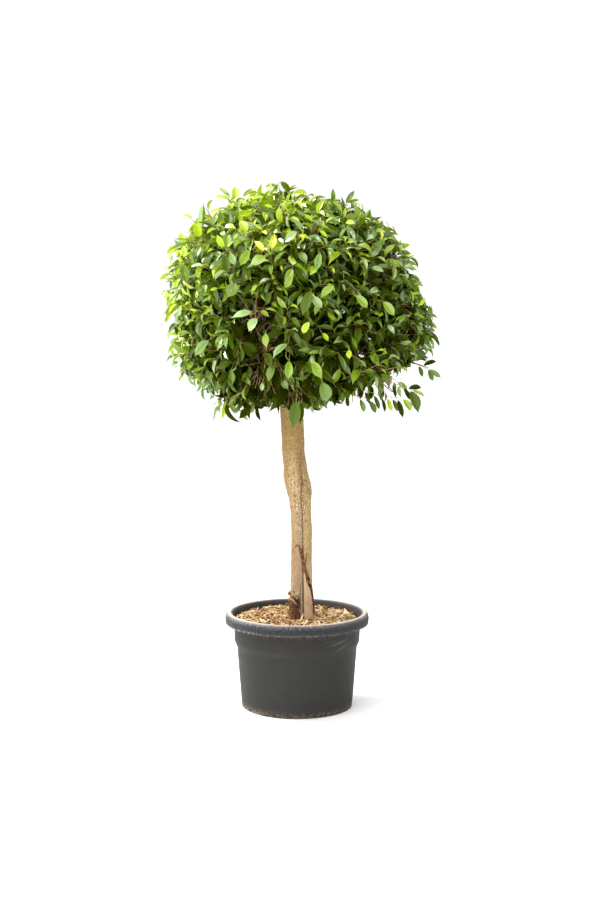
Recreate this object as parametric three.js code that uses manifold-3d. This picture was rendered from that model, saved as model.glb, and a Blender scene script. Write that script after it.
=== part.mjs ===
// Standard, or lollipop, topiary: an evergreen fig clipped to a ball on a clear stem, in a round nursery pot.
// Millimetres, +Z up, the front towards -Y. The origin is the centre of the pot's flat underside.
import * as THREE from "three";
import { ConvexGeometry } from "three/addons/geometries/ConvexGeometry.js";
import { mergeVertices } from "three/addons/utils/BufferGeometryUtils.js";
import Module from "manifold-3d";

const wasm = await Module();
wasm.setup();

// Driving dimensions.
const GAP = 0.3; // between pieces that touch
const SEED = 4071;

const POT = {
  footRadius: 216,
  shoulderRadius: 231.5,
  shoulderHeight: 236,
  collarRadius: 242,
  collarHeight: 262,
  neckRadius: 243.5,
  neckHeight: 332,
  crestRadius: 264,
  crestHeight: 370,
  lipRadius: 278,
  lipBulgeHeight: 349,
  lipFootRadius: 276,
  lipFootHeight: 329,
  rimBend: 2,
  footChamfer: 3,
  wall: 4,
  floor: 6,
  sides: 36,
  drainHoles: 6,
  drainHoleRadius: 11,
  drainHoleSides: 10,
  drainCircleRadius: 165,
};

const SOIL_TOP = 318;
const MULCH = { top: 344, roughness: 6, dish: 4, rings: 3, sides: 30, edgeGap: 1, chips: 24 };
const CHIP = { length: [24, 52], width: [8, 15], thickness: [3, 5], tilt: 21, proud: [1.5, 3.5] };

// The stem from its flat cut on the soil to its tip inside the crown: height, lean in x and y, radius.
const STEM_STATIONS = [
  { height: SOIL_TOP + GAP, x: 19, y: 0, radius: 49 },
  { height: 400, x: 18, y: 0, radius: 44.5 },
  { height: 575, x: 18, y: 3, radius: 40.5 },
  { height: 693, x: 18, y: 6, radius: 40.5 },
  { height: 752, x: 16, y: 8, radius: 40 },
  { height: 810, x: 11, y: 9, radius: 42.5 },
  { height: 869, x: 3, y: 9, radius: 47.5 },
  { height: 927, x: -5, y: 8, radius: 44.5 },
  { height: 1005, x: -14, y: 6, radius: 43.5 },
  { height: 1180, x: -21, y: 3, radius: 44.5 },
  { height: 1270, x: -20, y: 2, radius: 46 },
  { height: 1350, x: -17, y: 1, radius: 39 },
  { height: 1425, x: -14, y: 0, radius: 28 },
];
const STEM_SIDES = 12;
const STEM_STEPS = 20;
// Grooves run up the stem where two shoots grew into one, and fade out towards the crown.
const STEM_GROOVES = [
  { bearing: -78, depth: 0.11, width: 16 },
  { bearing: 74, depth: 0.08, width: 24 },
];
const GROOVE_FADE = { from: 750, to: 1200 };

// Grown onto the stem's foot: stops are heights and bearings round it, and sink is how deep the middle lies.
const STEM_GROWTHS = [
  // A root fused to the right of the foot, widening to the soil.
  { stops: [[325, -50], [420, -48], [510, -58], [600, -68]], sink: 9, thick: 22, thin: 8, sides: 8 },
  // A dead climbing root that crosses the front.
  { stops: [[325, -22], [450, -38], [540, -66], [625, -98]], sink: -1, thick: 5.5, thin: 4, sides: 5 },
  // Fibrous dead bark on the left of the foot, under a knot.
  { stops: [[325, -128], [370, -134], [425, -140]], sink: 7, thick: 17, thin: 13, sides: 7 },
  { stops: [[425, -172], [438, -140], [446, -108]], sink: 3, thick: 9, thin: 8, sides: 6 },
];

// The crown is a rounded box of a ball, drawn out a little towards its upper left and lower right.
const CROWN = {
  centre: new THREE.Vector3(8, 0, 1583),
  halfWidth: 532,
  halfDepth: 518,
  rise: 428,
  drop: 430,
  upperRoundness: 2.4,
  lowerRoundness: 3.6,
  skew: 0.07,
};
// The foliage is open inside, round the stem and boughs: radius and height of the hollow, from below upwards.
const HOLLOW = [
  [84, 1080],
  [98, 1240],
  [150, 1318],
  [232, 1400],
  [262, 1500],
  [262, 1620],
  [205, 1735],
  [90, 1795],
];
const HOLLOW_SIDES = 10;
// A thin place low on the right, where the twigs hang free and the sky shows between them.
const THIN_PLACE = { azimuth: 352, elevation: -52, spread: 24, depth: 0.16 };

// One bough carries each mass of foliage. Azimuth 0 is to the right, 90 to the back and 270 to the front.
const BOUGHS = [
  { name: "lower_right", azimuth: 14, elevation: -33, fork: 1290, tip: 0.49, thick: 17, thin: 9 },
  { name: "lower_back", azimuth: 88, elevation: -35, fork: 1305, tip: 0.49, thick: 16, thin: 9 },
  { name: "lower_left", azimuth: 163, elevation: -32, fork: 1322, tip: 0.49, thick: 18, thin: 9 },
  { name: "lower_front_left", azimuth: 235, elevation: -35, fork: 1282, tip: 0.49, thick: 16, thin: 9 },
  { name: "lower_front_right", azimuth: 306, elevation: -34, fork: 1300, tip: 0.49, thick: 17, thin: 9 },
  { name: "upper_back_right", azimuth: 51, elevation: 26, fork: 1376, tip: 0.45, thick: 18, thin: 10 },
  { name: "upper_back_left", azimuth: 127, elevation: 25, fork: 1390, tip: 0.45, thick: 17, thin: 10 },
  { name: "upper_left", azimuth: 199, elevation: 24, fork: 1384, tip: 0.45, thick: 20, thin: 10 },
  { name: "upper_front", azimuth: 271, elevation: 26, fork: 1372, tip: 0.45, thick: 18, thin: 10 },
  { name: "upper_right", azimuth: 343, elevation: 23, fork: 1394, tip: 0.45, thick: 18, thin: 10 },
  { name: "top", azimuth: 180, elevation: 88, fork: 1425, tip: 0.42, thick: 25, thin: 11 },
];
const BOUGH_SIDES = 6;
const BOUGH_STEPS = 4;
const BOUGH_ARCH = { outward: 0.55, lowerRise: 0.45, upperRise: 0.35 };
const LEADER_SWAY = new THREE.Vector3(14, -9, 0);

// Foliage: shares are of the way from the crown's centre to its outline.
const FOLIAGE = {
  shoots: 116,
  shootSpacing: 11,
  stemEnd: 0.66,
  coreOuter: 0.84,
  coreUnevenness: 0.03,
  coreDetail: 2,
  coreInset: 4,
  shootReach: 0.91,
  reachSpread: 0.02,
  leavesPerShoot: 4,
  firstLeaf: 0.97,
  leafStep: 0.055,
  leafLength: 112,
  leafLengthSpread: 14,
  leafWidthShare: 0.47,
  leafWidest: 0.44,
  leafThickness: 3.4,
  leafDroop: 0.1,
  leafRootInset: 0.6,
  leafClearance: 9,
  tipLean: 46,
  rootLean: 86,
  roll: 50,
  hang: 0.22,
  lift: 0.9,
  tries: 12,
  tryTurn: 0.8,
  tryLean: 2,
  stemSides: 5,
  stemTaper: 0.7,
  shootThick: 6.4,
  shootThin: 4.2,
  shootSides: 3,
  shootSteps: 2,
  shootElbow: 0.68,
  shootGather: 0.3,
  cellMargin: 1.5,
  limbClearance: 6,
};
// Shoots grown past the clipped outline: where they point, and the share that their leaves may reach.
const LONG_SHOOTS = [
  { azimuth: 172, elevation: 84, reach: 0.97, limit: 1.09 },
  { azimuth: 181, elevation: 56, reach: 0.93, limit: 1.03 },
  { azimuth: 3, elevation: 61, reach: 0.94, limit: 1.04 },
  { azimuth: 183, elevation: 21, reach: 0.92, limit: 1.02 },
  { azimuth: 176, elevation: -33, reach: 0.93, limit: 1.04 },
  { azimuth: 187, elevation: -42, reach: 0.94, limit: 1.06 },
  { azimuth: 191, elevation: -53, reach: 0.99, limit: 1.2 },
  { azimuth: 3, elevation: -6, reach: 0.92, limit: 1.03 },
  { azimuth: 352, elevation: -25, reach: 0.94, limit: 1.05 },
  { azimuth: 345, elevation: -48, reach: 0.93, limit: 1.05 },
  { azimuth: 66, elevation: 42, reach: 0.93, limit: 1.03 },
  { azimuth: 112, elevation: -12, reach: 0.93, limit: 1.04 },
  { azimuth: 75, elevation: -56, reach: 0.93, limit: 1.08 },
];

const COLOURS = {
  pot: { color: 0x2c2e31, roughness: 0.55, metalness: 0 },
  soil: { color: 0x33261b, roughness: 1, metalness: 0 },
  mulch: { color: 0xb98d5a, roughness: 0.95, metalness: 0 },
  bark: { color: 0xa98a5c, roughness: 0.85, metalness: 0 },
  bough: { color: 0x7d5b44, roughness: 0.85, metalness: 0 },
  foliage: { color: 0x3f6b1c, roughness: 0.45, metalness: 0 },
};

const UP = new THREE.Vector3(0, 0, 1);
const GOLDEN_ANGLE = Math.PI * (3 - Math.sqrt(5));
const radians = THREE.MathUtils.degToRad;
const lerp = THREE.MathUtils.lerp;

// Seeded random numbers from 0 to 1.
function randomFrom(seed) {
  let state = seed >>> 0;
  return () => {
    state = (state + 0x6d2b79f5) >>> 0;
    let mixed = Math.imul(state ^ (state >>> 15), 1 | state);
    mixed = (mixed + Math.imul(mixed ^ (mixed >>> 7), 61 | mixed)) ^ mixed;
    return ((mixed ^ (mixed >>> 14)) >>> 0) / 4294967296;
  };
}

function solidOf(geometry) {
  const bare = geometry.clone();
  bare.deleteAttribute("normal");
  bare.deleteAttribute("uv");
  const merged = mergeVertices(bare);
  const mesh = new wasm.Mesh({
    numProp: 3,
    vertProperties: new Float32Array(merged.attributes.position.array),
    triVerts: new Uint32Array(merged.index.array),
  });
  return new wasm.Manifold(mesh);
}

function geometryOf(solid) {
  const mesh = solid.getMesh();
  const geometry = new THREE.BufferGeometry();
  geometry.setAttribute("position", new THREE.BufferAttribute(mesh.vertProperties, 3));
  geometry.setIndex(new THREE.BufferAttribute(mesh.triVerts, 1));
  geometry.computeVertexNormals();
  return geometry;
}

// The largest body of a solid: loose scraps are dropped and sealed hollows are filled.
function wholeBody(solid) {
  const bodies = solid.decompose();
  return bodies.reduce((best, body) => (body.volume() > best.volume() ? body : best));
}

function piece(name, solid, look) {
  const mesh = new THREE.Mesh(geometryOf(wholeBody(solid)), new THREE.MeshStandardMaterial(look));
  mesh.name = name;
  return mesh;
}

// A closed limb: a cylinder whose rings lie along a path. Level rings stay horizontal, for an upright stem.
function limb(path, radiusAt, sides, steps, level = false) {
  const tube = new THREE.CylinderGeometry(1, 1, 1, sides, steps);
  const frames = level ? null : path.computeFrenetFrames(steps, false);
  const position = tube.attributes.position;
  for (let i = 0; i < position.count; i++) {
    const share = position.getY(i) + 0.5;
    const ring = Math.round(share * steps);
    const across = level ? new THREE.Vector3(1, 0, 0) : frames.binormals[ring];
    const along = level ? new THREE.Vector3(0, -1, 0) : frames.normals[ring];
    const angle = Math.atan2(-position.getZ(i), position.getX(i));
    const radius = radiusAt(share, angle);
    const point = level ? path.getPoint(share) : path.getPointAt(share);
    point.addScaledVector(across, position.getX(i) * radius);
    point.addScaledVector(along, position.getZ(i) * radius);
    position.setXYZ(i, point.x, point.y, point.z);
  }
  return tube;
}

const taper = (thick, thin) => (share) => lerp(thick, thin, share);

// Pot: one sheet of plastic, drawn as its middle line and set off by half the wall to each side.
function potMiddleLine() {
  const line = new THREE.Path();
  line.moveTo(POT.footRadius - POT.wall / 2, POT.floor / 2);
  line.lineTo(POT.shoulderRadius, POT.shoulderHeight);
  line.lineTo(POT.collarRadius, POT.collarHeight);
  line.lineTo(POT.neckRadius, POT.neckHeight);
  line.quadraticCurveTo(POT.neckRadius + POT.rimBend, POT.crestHeight, POT.crestRadius, POT.crestHeight);
  line.quadraticCurveTo(POT.lipRadius - POT.rimBend, POT.crestHeight, POT.lipRadius, POT.lipBulgeHeight);
  line.lineTo(POT.lipFootRadius, POT.lipFootHeight);
  return line.getPoints(2);
}

function offsetLine(points, distance) {
  return points.map((point, i) => {
    const before = points[Math.max(i - 1, 0)];
    const after = points[Math.min(i + 1, points.length - 1)];
    const way = after.clone().sub(before).normalize();
    return new THREE.Vector2(point.x + way.y * distance, point.y - way.x * distance);
  });
}

function turned(profile, sides) {
  return new THREE.LatheGeometry(profile, sides).rotateX(Math.PI / 2);
}

function potSolid() {
  const middle = potMiddleLine();
  const outside = offsetLine(middle, POT.wall / 2);
  const inside = offsetLine(middle, -POT.wall / 2).reverse();
  const profile = [
    new THREE.Vector2(0, 0),
    new THREE.Vector2(POT.footRadius - POT.footChamfer, 0),
    new THREE.Vector2(POT.footRadius, POT.footChamfer),
    ...outside.slice(1),
    ...inside.slice(0, -1),
    new THREE.Vector2(POT.footRadius - POT.wall, POT.floor),
    new THREE.Vector2(0, POT.floor),
  ];
  let pot = solidOf(turned(profile, POT.sides));
  for (let i = 0; i < POT.drainHoles; i++) {
    const angle = (i / POT.drainHoles) * 2 * Math.PI;
    const radius = POT.drainHoleRadius;
    const hole = new THREE.CylinderGeometry(radius, radius, 4 * POT.floor, POT.drainHoleSides);
    hole.rotateX(Math.PI / 2);
    hole.translate(POT.drainCircleRadius * Math.cos(angle), POT.drainCircleRadius * Math.sin(angle), 0);
    pot = pot.subtract(solidOf(hole));
  }
  return pot;
}

// The pot's inner radius at a height below its neck, taken inside its flat sides.
function potBore(height) {
  const flatShare = Math.cos(Math.PI / POT.sides);
  const stations = [
    [POT.floor, POT.footRadius - POT.wall],
    [POT.shoulderHeight, POT.shoulderRadius - POT.wall / 2],
    [POT.collarHeight, POT.collarRadius - POT.wall / 2],
    [POT.neckHeight, POT.neckRadius - POT.wall / 2],
    [POT.crestHeight, POT.neckRadius],
  ];
  const upper = stations.findIndex(([level]) => level >= height);
  const [highLevel, highRadius] = stations[Math.max(upper, 1)];
  const [lowLevel, lowRadius] = stations[Math.max(upper, 1) - 1];
  const share = (height - lowLevel) / (highLevel - lowLevel);
  return lerp(lowRadius, highRadius, share) * flatShare;
}

function soilSolid() {
  const clearance = 2 * GAP;
  const foot = POT.floor + GAP;
  const profile = [
    new THREE.Vector2(0, foot),
    new THREE.Vector2(potBore(foot) - clearance, foot),
    new THREE.Vector2(potBore(POT.shoulderHeight) - clearance, POT.shoulderHeight - clearance),
    new THREE.Vector2(potBore(SOIL_TOP) - clearance, POT.collarHeight + clearance),
    new THREE.Vector2(potBore(SOIL_TOP) - clearance, SOIL_TOP),
    new THREE.Vector2(0, SOIL_TOP),
  ];
  return solidOf(turned(profile, POT.sides));
}

// Mulch: an uneven bed of wood chips with single chips lying in its top, cut clear of the stem.
function mulchBed(random) {
  const foot = SOIL_TOP + GAP;
  const radius = potBore(foot) - MULCH.edgeGap;
  const profile = [new THREE.Vector2(0, foot), new THREE.Vector2(radius, foot)];
  for (let ring = 0; ring <= MULCH.rings; ring++) {
    profile.push(new THREE.Vector2(radius * (1 - ring / MULCH.rings), MULCH.top));
  }
  const bed = mergeVertices(turned(profile, MULCH.sides).deleteAttribute("normal").deleteAttribute("uv"));
  const position = bed.attributes.position;
  for (let i = 0; i < position.count; i++) {
    if (position.getZ(i) > foot + GAP) {
      const outward = Math.hypot(position.getX(i), position.getY(i)) / radius;
      const rise = (random() - 0.5) * MULCH.roughness + MULCH.dish * outward * outward;
      position.setZ(i, MULCH.top + rise);
    }
  }
  return solidOf(bed);
}

function mulchChip(random, index) {
  const between = ([low, high]) => lerp(low, high, random());
  const length = between(CHIP.length);
  const chip = new THREE.BoxGeometry(length, between(CHIP.width), between(CHIP.thickness));
  const bedRadius = potBore(SOIL_TOP) - MULCH.edgeGap;
  const outward = Math.sqrt((index + 0.5) / MULCH.chips) * (bedRadius - length / 2 - CHIP.width[1]);
  const bearing = index * GOLDEN_ANGLE;
  chip.rotateY(radians(between([-CHIP.tilt, CHIP.tilt])));
  chip.rotateX(radians(between([-CHIP.tilt, CHIP.tilt])));
  chip.rotateZ(between([0, 2 * Math.PI]));
  chip.translate(outward * Math.cos(bearing), outward * Math.sin(bearing), MULCH.top + between(CHIP.proud));
  return solidOf(chip);
}

function mulchSolid(stemClearance) {
  const random = randomFrom(SEED + 1);
  let mulch = mulchBed(random);
  for (let i = 0; i < MULCH.chips; i++) mulch = mulch.add(mulchChip(random, i));
  return mulch.subtract(stemClearance);
}

// Stem.
function stemStation(height) {
  const upper = Math.max(STEM_STATIONS.findIndex((station) => station.height >= height), 1);
  const high = STEM_STATIONS[upper];
  const low = STEM_STATIONS[upper - 1];
  const share = (height - low.height) / (high.height - low.height);
  const eased = (THREE.MathUtils.smoothstep(share, 0, 1) + share) / 2;
  const between = (key) => lerp(low[key], high[key], eased);
  return { centre: new THREE.Vector3(between("x"), between("y"), height), radius: between("radius") };
}

const STEM_FOOT = STEM_STATIONS[0].height;
const STEM_TIP = STEM_STATIONS[STEM_STATIONS.length - 1].height;

class StemLine extends THREE.Curve {
  getPoint(share) {
    return stemStation(lerp(STEM_FOOT, STEM_TIP, share)).centre;
  }
}

function stemRadius(share, angle, swell) {
  const height = lerp(STEM_FOOT, STEM_TIP, share);
  const fade = 1 - THREE.MathUtils.smoothstep(height, GROOVE_FADE.from, GROOVE_FADE.to);
  let factor = 1;
  for (const { bearing, depth, width } of STEM_GROOVES) {
    const off = THREE.MathUtils.euclideanModulo(angle - radians(bearing) + Math.PI, 2 * Math.PI) - Math.PI;
    factor -= depth * fade * Math.exp(-((off / radians(width)) ** 2));
  }
  return stemStation(height).radius * factor + swell;
}

// A path that lies on the stem's surface, from heights and bearings round the stem.
function pathOnStem(stops, sink) {
  const points = stops.map(([height, bearing]) => {
    const { centre, radius } = stemStation(height);
    const out = new THREE.Vector3(Math.cos(radians(bearing)), Math.sin(radians(bearing)), 0);
    return centre.addScaledVector(out, radius - sink);
  });
  return new THREE.CatmullRomCurve3(points);
}

function stemSolid(swell = 0) {
  const radiusAt = (share, angle) => stemRadius(share, angle, swell);
  let stem = solidOf(limb(new StemLine(), radiusAt, STEM_SIDES, STEM_STEPS, true));
  for (const { stops, sink, thick, thin, sides } of STEM_GROWTHS) {
    const grown = limb(pathOnStem(stops, sink), taper(thick + swell, thin + swell), sides, stops.length + 1);
    stem = stem.add(solidOf(grown));
  }
  return stem.subtract(belowStem());
}

// What would reach below the stem's flat cut.
function belowStem() {
  const breadth = 400;
  const depth = 120;
  const block = new THREE.BoxGeometry(breadth, breadth, depth);
  block.translate(0, 0, STEM_FOOT - depth / 2);
  return solidOf(block);
}

// Crown: a direction is a unit vector from the crown's centre in its own, unskewed space.
function crownRadius(direction) {
  const roundness = direction.z > 0 ? CROWN.upperRoundness : CROWN.lowerRoundness;
  const height = direction.z > 0 ? CROWN.rise : CROWN.drop;
  const across = Math.hypot(direction.x / CROWN.halfWidth, direction.y / CROWN.halfDepth);
  return (across ** roundness + Math.abs(direction.z / height) ** roundness) ** (-1 / roundness);
}

function crownPoint(direction, share) {
  const { x, y, z } = direction.clone().multiplyScalar(crownRadius(direction) * share);
  return new THREE.Vector3(x - CROWN.skew * z, y, z - CROWN.skew * x).add(CROWN.centre);
}

function crownSpace(point) {
  const { x, y, z } = point.clone().sub(CROWN.centre);
  const scale = 1 / (1 - CROWN.skew * CROWN.skew);
  return new THREE.Vector3((x + CROWN.skew * z) * scale, y, (z + CROWN.skew * x) * scale);
}

function crownShare(point) {
  const inner = crownSpace(point);
  return inner.length() / crownRadius(inner.clone().normalize());
}

function directionOf({ azimuth, elevation }) {
  const level = Math.cos(radians(elevation));
  const turn = radians(azimuth);
  return new THREE.Vector3(level * Math.cos(turn), level * Math.sin(turn), Math.sin(radians(elevation)));
}

const HEADINGS = BOUGHS.map(directionOf);

function nearestHeading(direction) {
  const closeness = HEADINGS.map((heading) => direction.dot(heading));
  return closeness.indexOf(Math.max(...closeness));
}

// True where a point keeps a margin from the borders of its mass's space, which meet at the crown's centre.
function inCell(point, owner, margin) {
  const inner = crownSpace(point);
  return HEADINGS.every((heading, i) => {
    if (i === owner) return true;
    const border = HEADINGS[owner].clone().sub(heading).normalize();
    return inner.dot(border) > margin;
  });
}

// Boughs: each leaves the stem's middle, arches outwards, and ends square where its mass begins.
function boughPath(bough, heading) {
  const start = stemStation(Math.min(bough.fork, STEM_TIP)).centre;
  const tip = crownPoint(heading, bough.tip);
  if (bough.name === "top") {
    start.z += GAP;
    const sway = start.clone().lerp(tip, 0.5).add(LEADER_SWAY);
    return new THREE.QuadraticBezierCurve3(start, sway, tip);
  }
  const level = new THREE.Vector3(tip.x - start.x, tip.y - start.y, 0);
  const arch = start.clone().addScaledVector(level, BOUGH_ARCH.outward);
  arch.z = lerp(start.z, tip.z, bough.elevation < 0 ? BOUGH_ARCH.lowerRise : BOUGH_ARCH.upperRise);
  return new THREE.QuadraticBezierCurve3(start, arch, tip);
}

const BOUGH_PATHS = BOUGHS.map((bough, i) => boughPath(bough, HEADINGS[i]));

function boughSolid(index, swell = 0) {
  const { thick, thin } = BOUGHS[index];
  return solidOf(limb(BOUGH_PATHS[index], taper(thick + swell, thin + swell), BOUGH_SIDES, BOUGH_STEPS));
}

// Points with radii along the stem and boughs, for keeping foliage clear of them.
function limbBeads() {
  const spacing = 10;
  const beads = [];
  for (let height = STEM_TIP; height > HOLLOW[0][1]; height -= spacing) {
    const { centre, radius } = stemStation(height);
    beads.push({ centre, radius });
  }
  BOUGHS.forEach(({ thick, thin }, i) => {
    const steps = Math.ceil(BOUGH_PATHS[i].getLength() / spacing);
    BOUGH_PATHS[i].getSpacedPoints(steps).forEach((centre, step) => {
      beads.push({ centre, radius: lerp(thick, thin, step / steps) });
    });
  });
  return beads;
}

const BEADS = limbBeads();

function clearOfLimbs(point, clearance) {
  return BEADS.every(({ centre, radius }) => centre.distanceTo(point) > radius + clearance);
}

// Directions in which three cells meet, with the three masses that share each.
function cellCorners() {
  const corners = [];
  HEADINGS.forEach((a, i) =>
    HEADINGS.slice(0, i).forEach((b, j) =>
      HEADINGS.slice(0, j).forEach((c, k) => {
        const normal = new THREE.Vector3().crossVectors(a.clone().sub(b), b.clone().sub(c)).normalize();
        if (normal.dot(a) < 0) normal.negate();
        if (HEADINGS.every((other) => normal.dot(other) < normal.dot(a) + 1e-6)) {
          corners.push({ direction: normal, owners: [i, j, k] });
        }
      }),
    ),
  );
  return corners;
}

const CELL_CORNERS = cellCorners();

// A mass's space: a pyramid that widens from the crown's centre past its outline, clear of its neighbours.
function cellSolid(owner) {
  const beyond = 3;
  const corners = CELL_CORNERS.filter(({ owners }) => owners.includes(owner));
  const points = corners.map(({ direction }) => crownPoint(direction, beyond));
  points.push(CROWN.centre.clone());
  const inset = crownPoint(HEADINGS[owner], 1).sub(CROWN.centre).setLength(FOLIAGE.coreInset);
  return solidOf(new ConvexGeometry(points.map((point) => point.add(inset))));
}

function hollowSolid() {
  const profile = HOLLOW.map(([radius, height]) => new THREE.Vector2(radius, height));
  profile.unshift(new THREE.Vector2(0, HOLLOW[0][1]));
  profile.push(new THREE.Vector2(0, HOLLOW[HOLLOW.length - 1][1]));
  return solidOf(turned(profile, HOLLOW_SIDES));
}

// The dense inside of the clipped crown: an uneven ball with its hollow, shared out among the masses.
function denseSolid() {
  const random = randomFrom(SEED + 2);
  const thin = directionOf(THIN_PLACE);
  const ball = new THREE.IcosahedronGeometry(1, FOLIAGE.coreDetail);
  const merged = mergeVertices(ball.deleteAttribute("normal").deleteAttribute("uv"));
  const position = merged.attributes.position;
  for (let i = 0; i < position.count; i++) {
    const way = new THREE.Vector3().fromBufferAttribute(position, i).normalize();
    const dip = THIN_PLACE.depth * Math.exp(-((way.angleTo(thin) / radians(THIN_PLACE.spread)) ** 2));
    const share = FOLIAGE.coreOuter + (random() - 0.5) * 2 * FOLIAGE.coreUnevenness - dip;
    const { x, y, z } = crownPoint(way, share);
    position.setXYZ(i, x, y, z);
  }
  return solidOf(merged).subtract(hollowSolid());
}

const DENSE = denseSolid();

function coreSolid(owner) {
  return DENSE.intersect(cellSolid(owner));
}

// A point of a leaf's blade: along from root to tip, across from -1 to 1 and deep from -1 to 1.
function bladePoint({ root, way, side, face, length }, along, across, deep) {
  const droop = FOLIAGE.leafDroop * length * along * along;
  return root
    .clone()
    .addScaledVector(way, along * length)
    .addScaledVector(side, (across * length * FOLIAGE.leafWidthShare) / 2)
    .addScaledVector(face, (deep * FOLIAGE.leafThickness) / 2 - droop);
}

// A leaf of six faces: a ball of three sides with its poles at the root and the tip, and a rib along its top.
function leafGeometry(blade) {
  const leaf = new THREE.SphereGeometry(1, 3, 2);
  const position = leaf.attributes.position;
  for (let i = 0; i < position.count; i++) {
    const pole = Math.abs(position.getY(i)) > 0.5;
    const along = pole ? (position.getY(i) + 1) / 2 : FOLIAGE.leafWidest;
    const across = pole ? 0 : -Math.sign(Math.round(position.getZ(i)));
    const deep = pole ? 0 : -position.getX(i);
    const { x, y, z } = bladePoint(blade, along, across, deep);
    position.setXYZ(i, x, y, z);
  }
  return leaf;
}

// Points spread over a blade beyond its stalk, for keeping leaves apart.
function bladePoints(blade) {
  const points = [bladePoint(blade, 1, 0, 0)];
  for (const along of [0.3, 0.5, 0.7, 0.85]) {
    const breadth = 1 - Math.abs(along - FOLIAGE.leafWidest) / (1 - FOLIAGE.leafWidest);
    for (const across of [-0.8, 0, 0.8]) points.push(bladePoint(blade, along, across * breadth, 0));
  }
  return points;
}

function fits(points, owner, limit) {
  return points.every(
    (point) =>
      crownShare(point) < limit &&
      inCell(point, owner, FOLIAGE.cellMargin) &&
      clearOfLimbs(point, FOLIAGE.limbClearance),
  );
}

function cornersOf({ attributes: { position } }) {
  const corner = (_, i) => new THREE.Vector3().fromBufferAttribute(position, i);
  return Array.from({ length: position.count }, corner);
}

// A blade that leaves its shoot at an angle, leaning further out towards the shoot's root, with its tip down.
function bladeOn(path, index, attempt, length, roll) {
  const share = FOLIAGE.firstLeaf - index * FOLIAGE.leafStep;
  const along = path.getTangentAt(share);
  const aside = Math.abs(along.z) > 0.9 ? new THREE.Vector3(1, 0, 0) : UP;
  const across = new THREE.Vector3().crossVectors(along, aside).normalize();
  const over = new THREE.Vector3().crossVectors(along, across);
  const turn = index * GOLDEN_ANGLE + attempt * FOLIAGE.tryTurn;
  const opening = lerp(FOLIAGE.tipLean, FOLIAGE.rootLean, index / (FOLIAGE.leavesPerShoot - 1));
  const lean = radians(opening + attempt * FOLIAGE.tryLean);
  const way = along.clone().multiplyScalar(Math.cos(lean));
  way.addScaledVector(across, Math.sin(lean) * Math.cos(turn));
  way.addScaledVector(over, Math.sin(lean) * Math.sin(turn));
  way.z -= FOLIAGE.hang;
  way.normalize();
  const face = along.clone().addScaledVector(UP, FOLIAGE.lift);
  face.addScaledVector(way, -face.dot(way)).normalize();
  face.applyAxisAngle(way, roll);
  const side = new THREE.Vector3().crossVectors(face, way);
  const root = path.getPointAt(share).addScaledVector(way, -FOLIAGE.leafRootInset);
  return { root, way, side, face, length };
}

// Tries headings round the shoot until a leaf fits its mass's space and touches no other leaf or shoot.
function leafOn(path, index, owner, limit, taken, random) {
  const length = FOLIAGE.leafLength + (random() - 0.5) * 2 * FOLIAGE.leafLengthSpread;
  const roll = radians((random() - 0.5) * 2 * FOLIAGE.roll);
  for (let attempt = 0; attempt < FOLIAGE.tries; attempt++) {
    const blade = bladeOn(path, index, attempt, length, roll);
    const points = bladePoints(blade);
    const clear = (point) => taken.every((other) => other.distanceTo(point) > FOLIAGE.leafClearance);
    const showing = crownShare(points[0]) > FOLIAGE.coreOuter + FOLIAGE.coreUnevenness;
    if (points.every(clear) && showing && fits([blade.root, ...points], owner, limit)) {
      taken.push(...points);
      return leafGeometry(blade);
    }
  }
  return null;
}

// A shoot leaves its mass's stem, earlier the more it turns away, and bends out to its place on the crown.
function shootPath(stem, owner, direction, reach) {
  const turnAway = direction.angleTo(HEADINGS[owner]);
  const start = stem.getPoint(THREE.MathUtils.clamp(1 - turnAway, 0.25, 1));
  const elbow = direction.clone().lerp(HEADINGS[owner], FOLIAGE.shootGather).normalize();
  const bend = crownPoint(elbow, FOLIAGE.shootElbow);
  return new THREE.QuadraticBezierCurve3(start, bend, crownPoint(direction, reach));
}

// Directions dealt evenly over the crown by the golden angle, each to the mass whose heading is nearest.
function dealtShoots() {
  const shoots = BOUGHS.map(() => []);
  const long = LONG_SHOOTS.map((shoot) => ({ ...shoot, direction: directionOf(shoot) }));
  for (let i = 0; i < FOLIAGE.shoots; i++) {
    const z = 1 - (2 * (i + 0.5)) / FOLIAGE.shoots;
    const level = Math.sqrt(1 - z * z);
    const turn = i * GOLDEN_ANGLE;
    const direction = new THREE.Vector3(level * Math.cos(turn), level * Math.sin(turn), z);
    const crowded = long.some((shoot) => shoot.direction.angleTo(direction) < radians(FOLIAGE.shootSpacing));
    if (crowded) continue;
    shoots[nearestHeading(direction)].push({ direction, reach: FOLIAGE.shootReach, limit: 1 });
  }
  for (const shoot of long) shoots[nearestHeading(shoot.direction)].push(shoot);
  return shoots;
}

const SHOOTS = dealtShoots();

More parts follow.
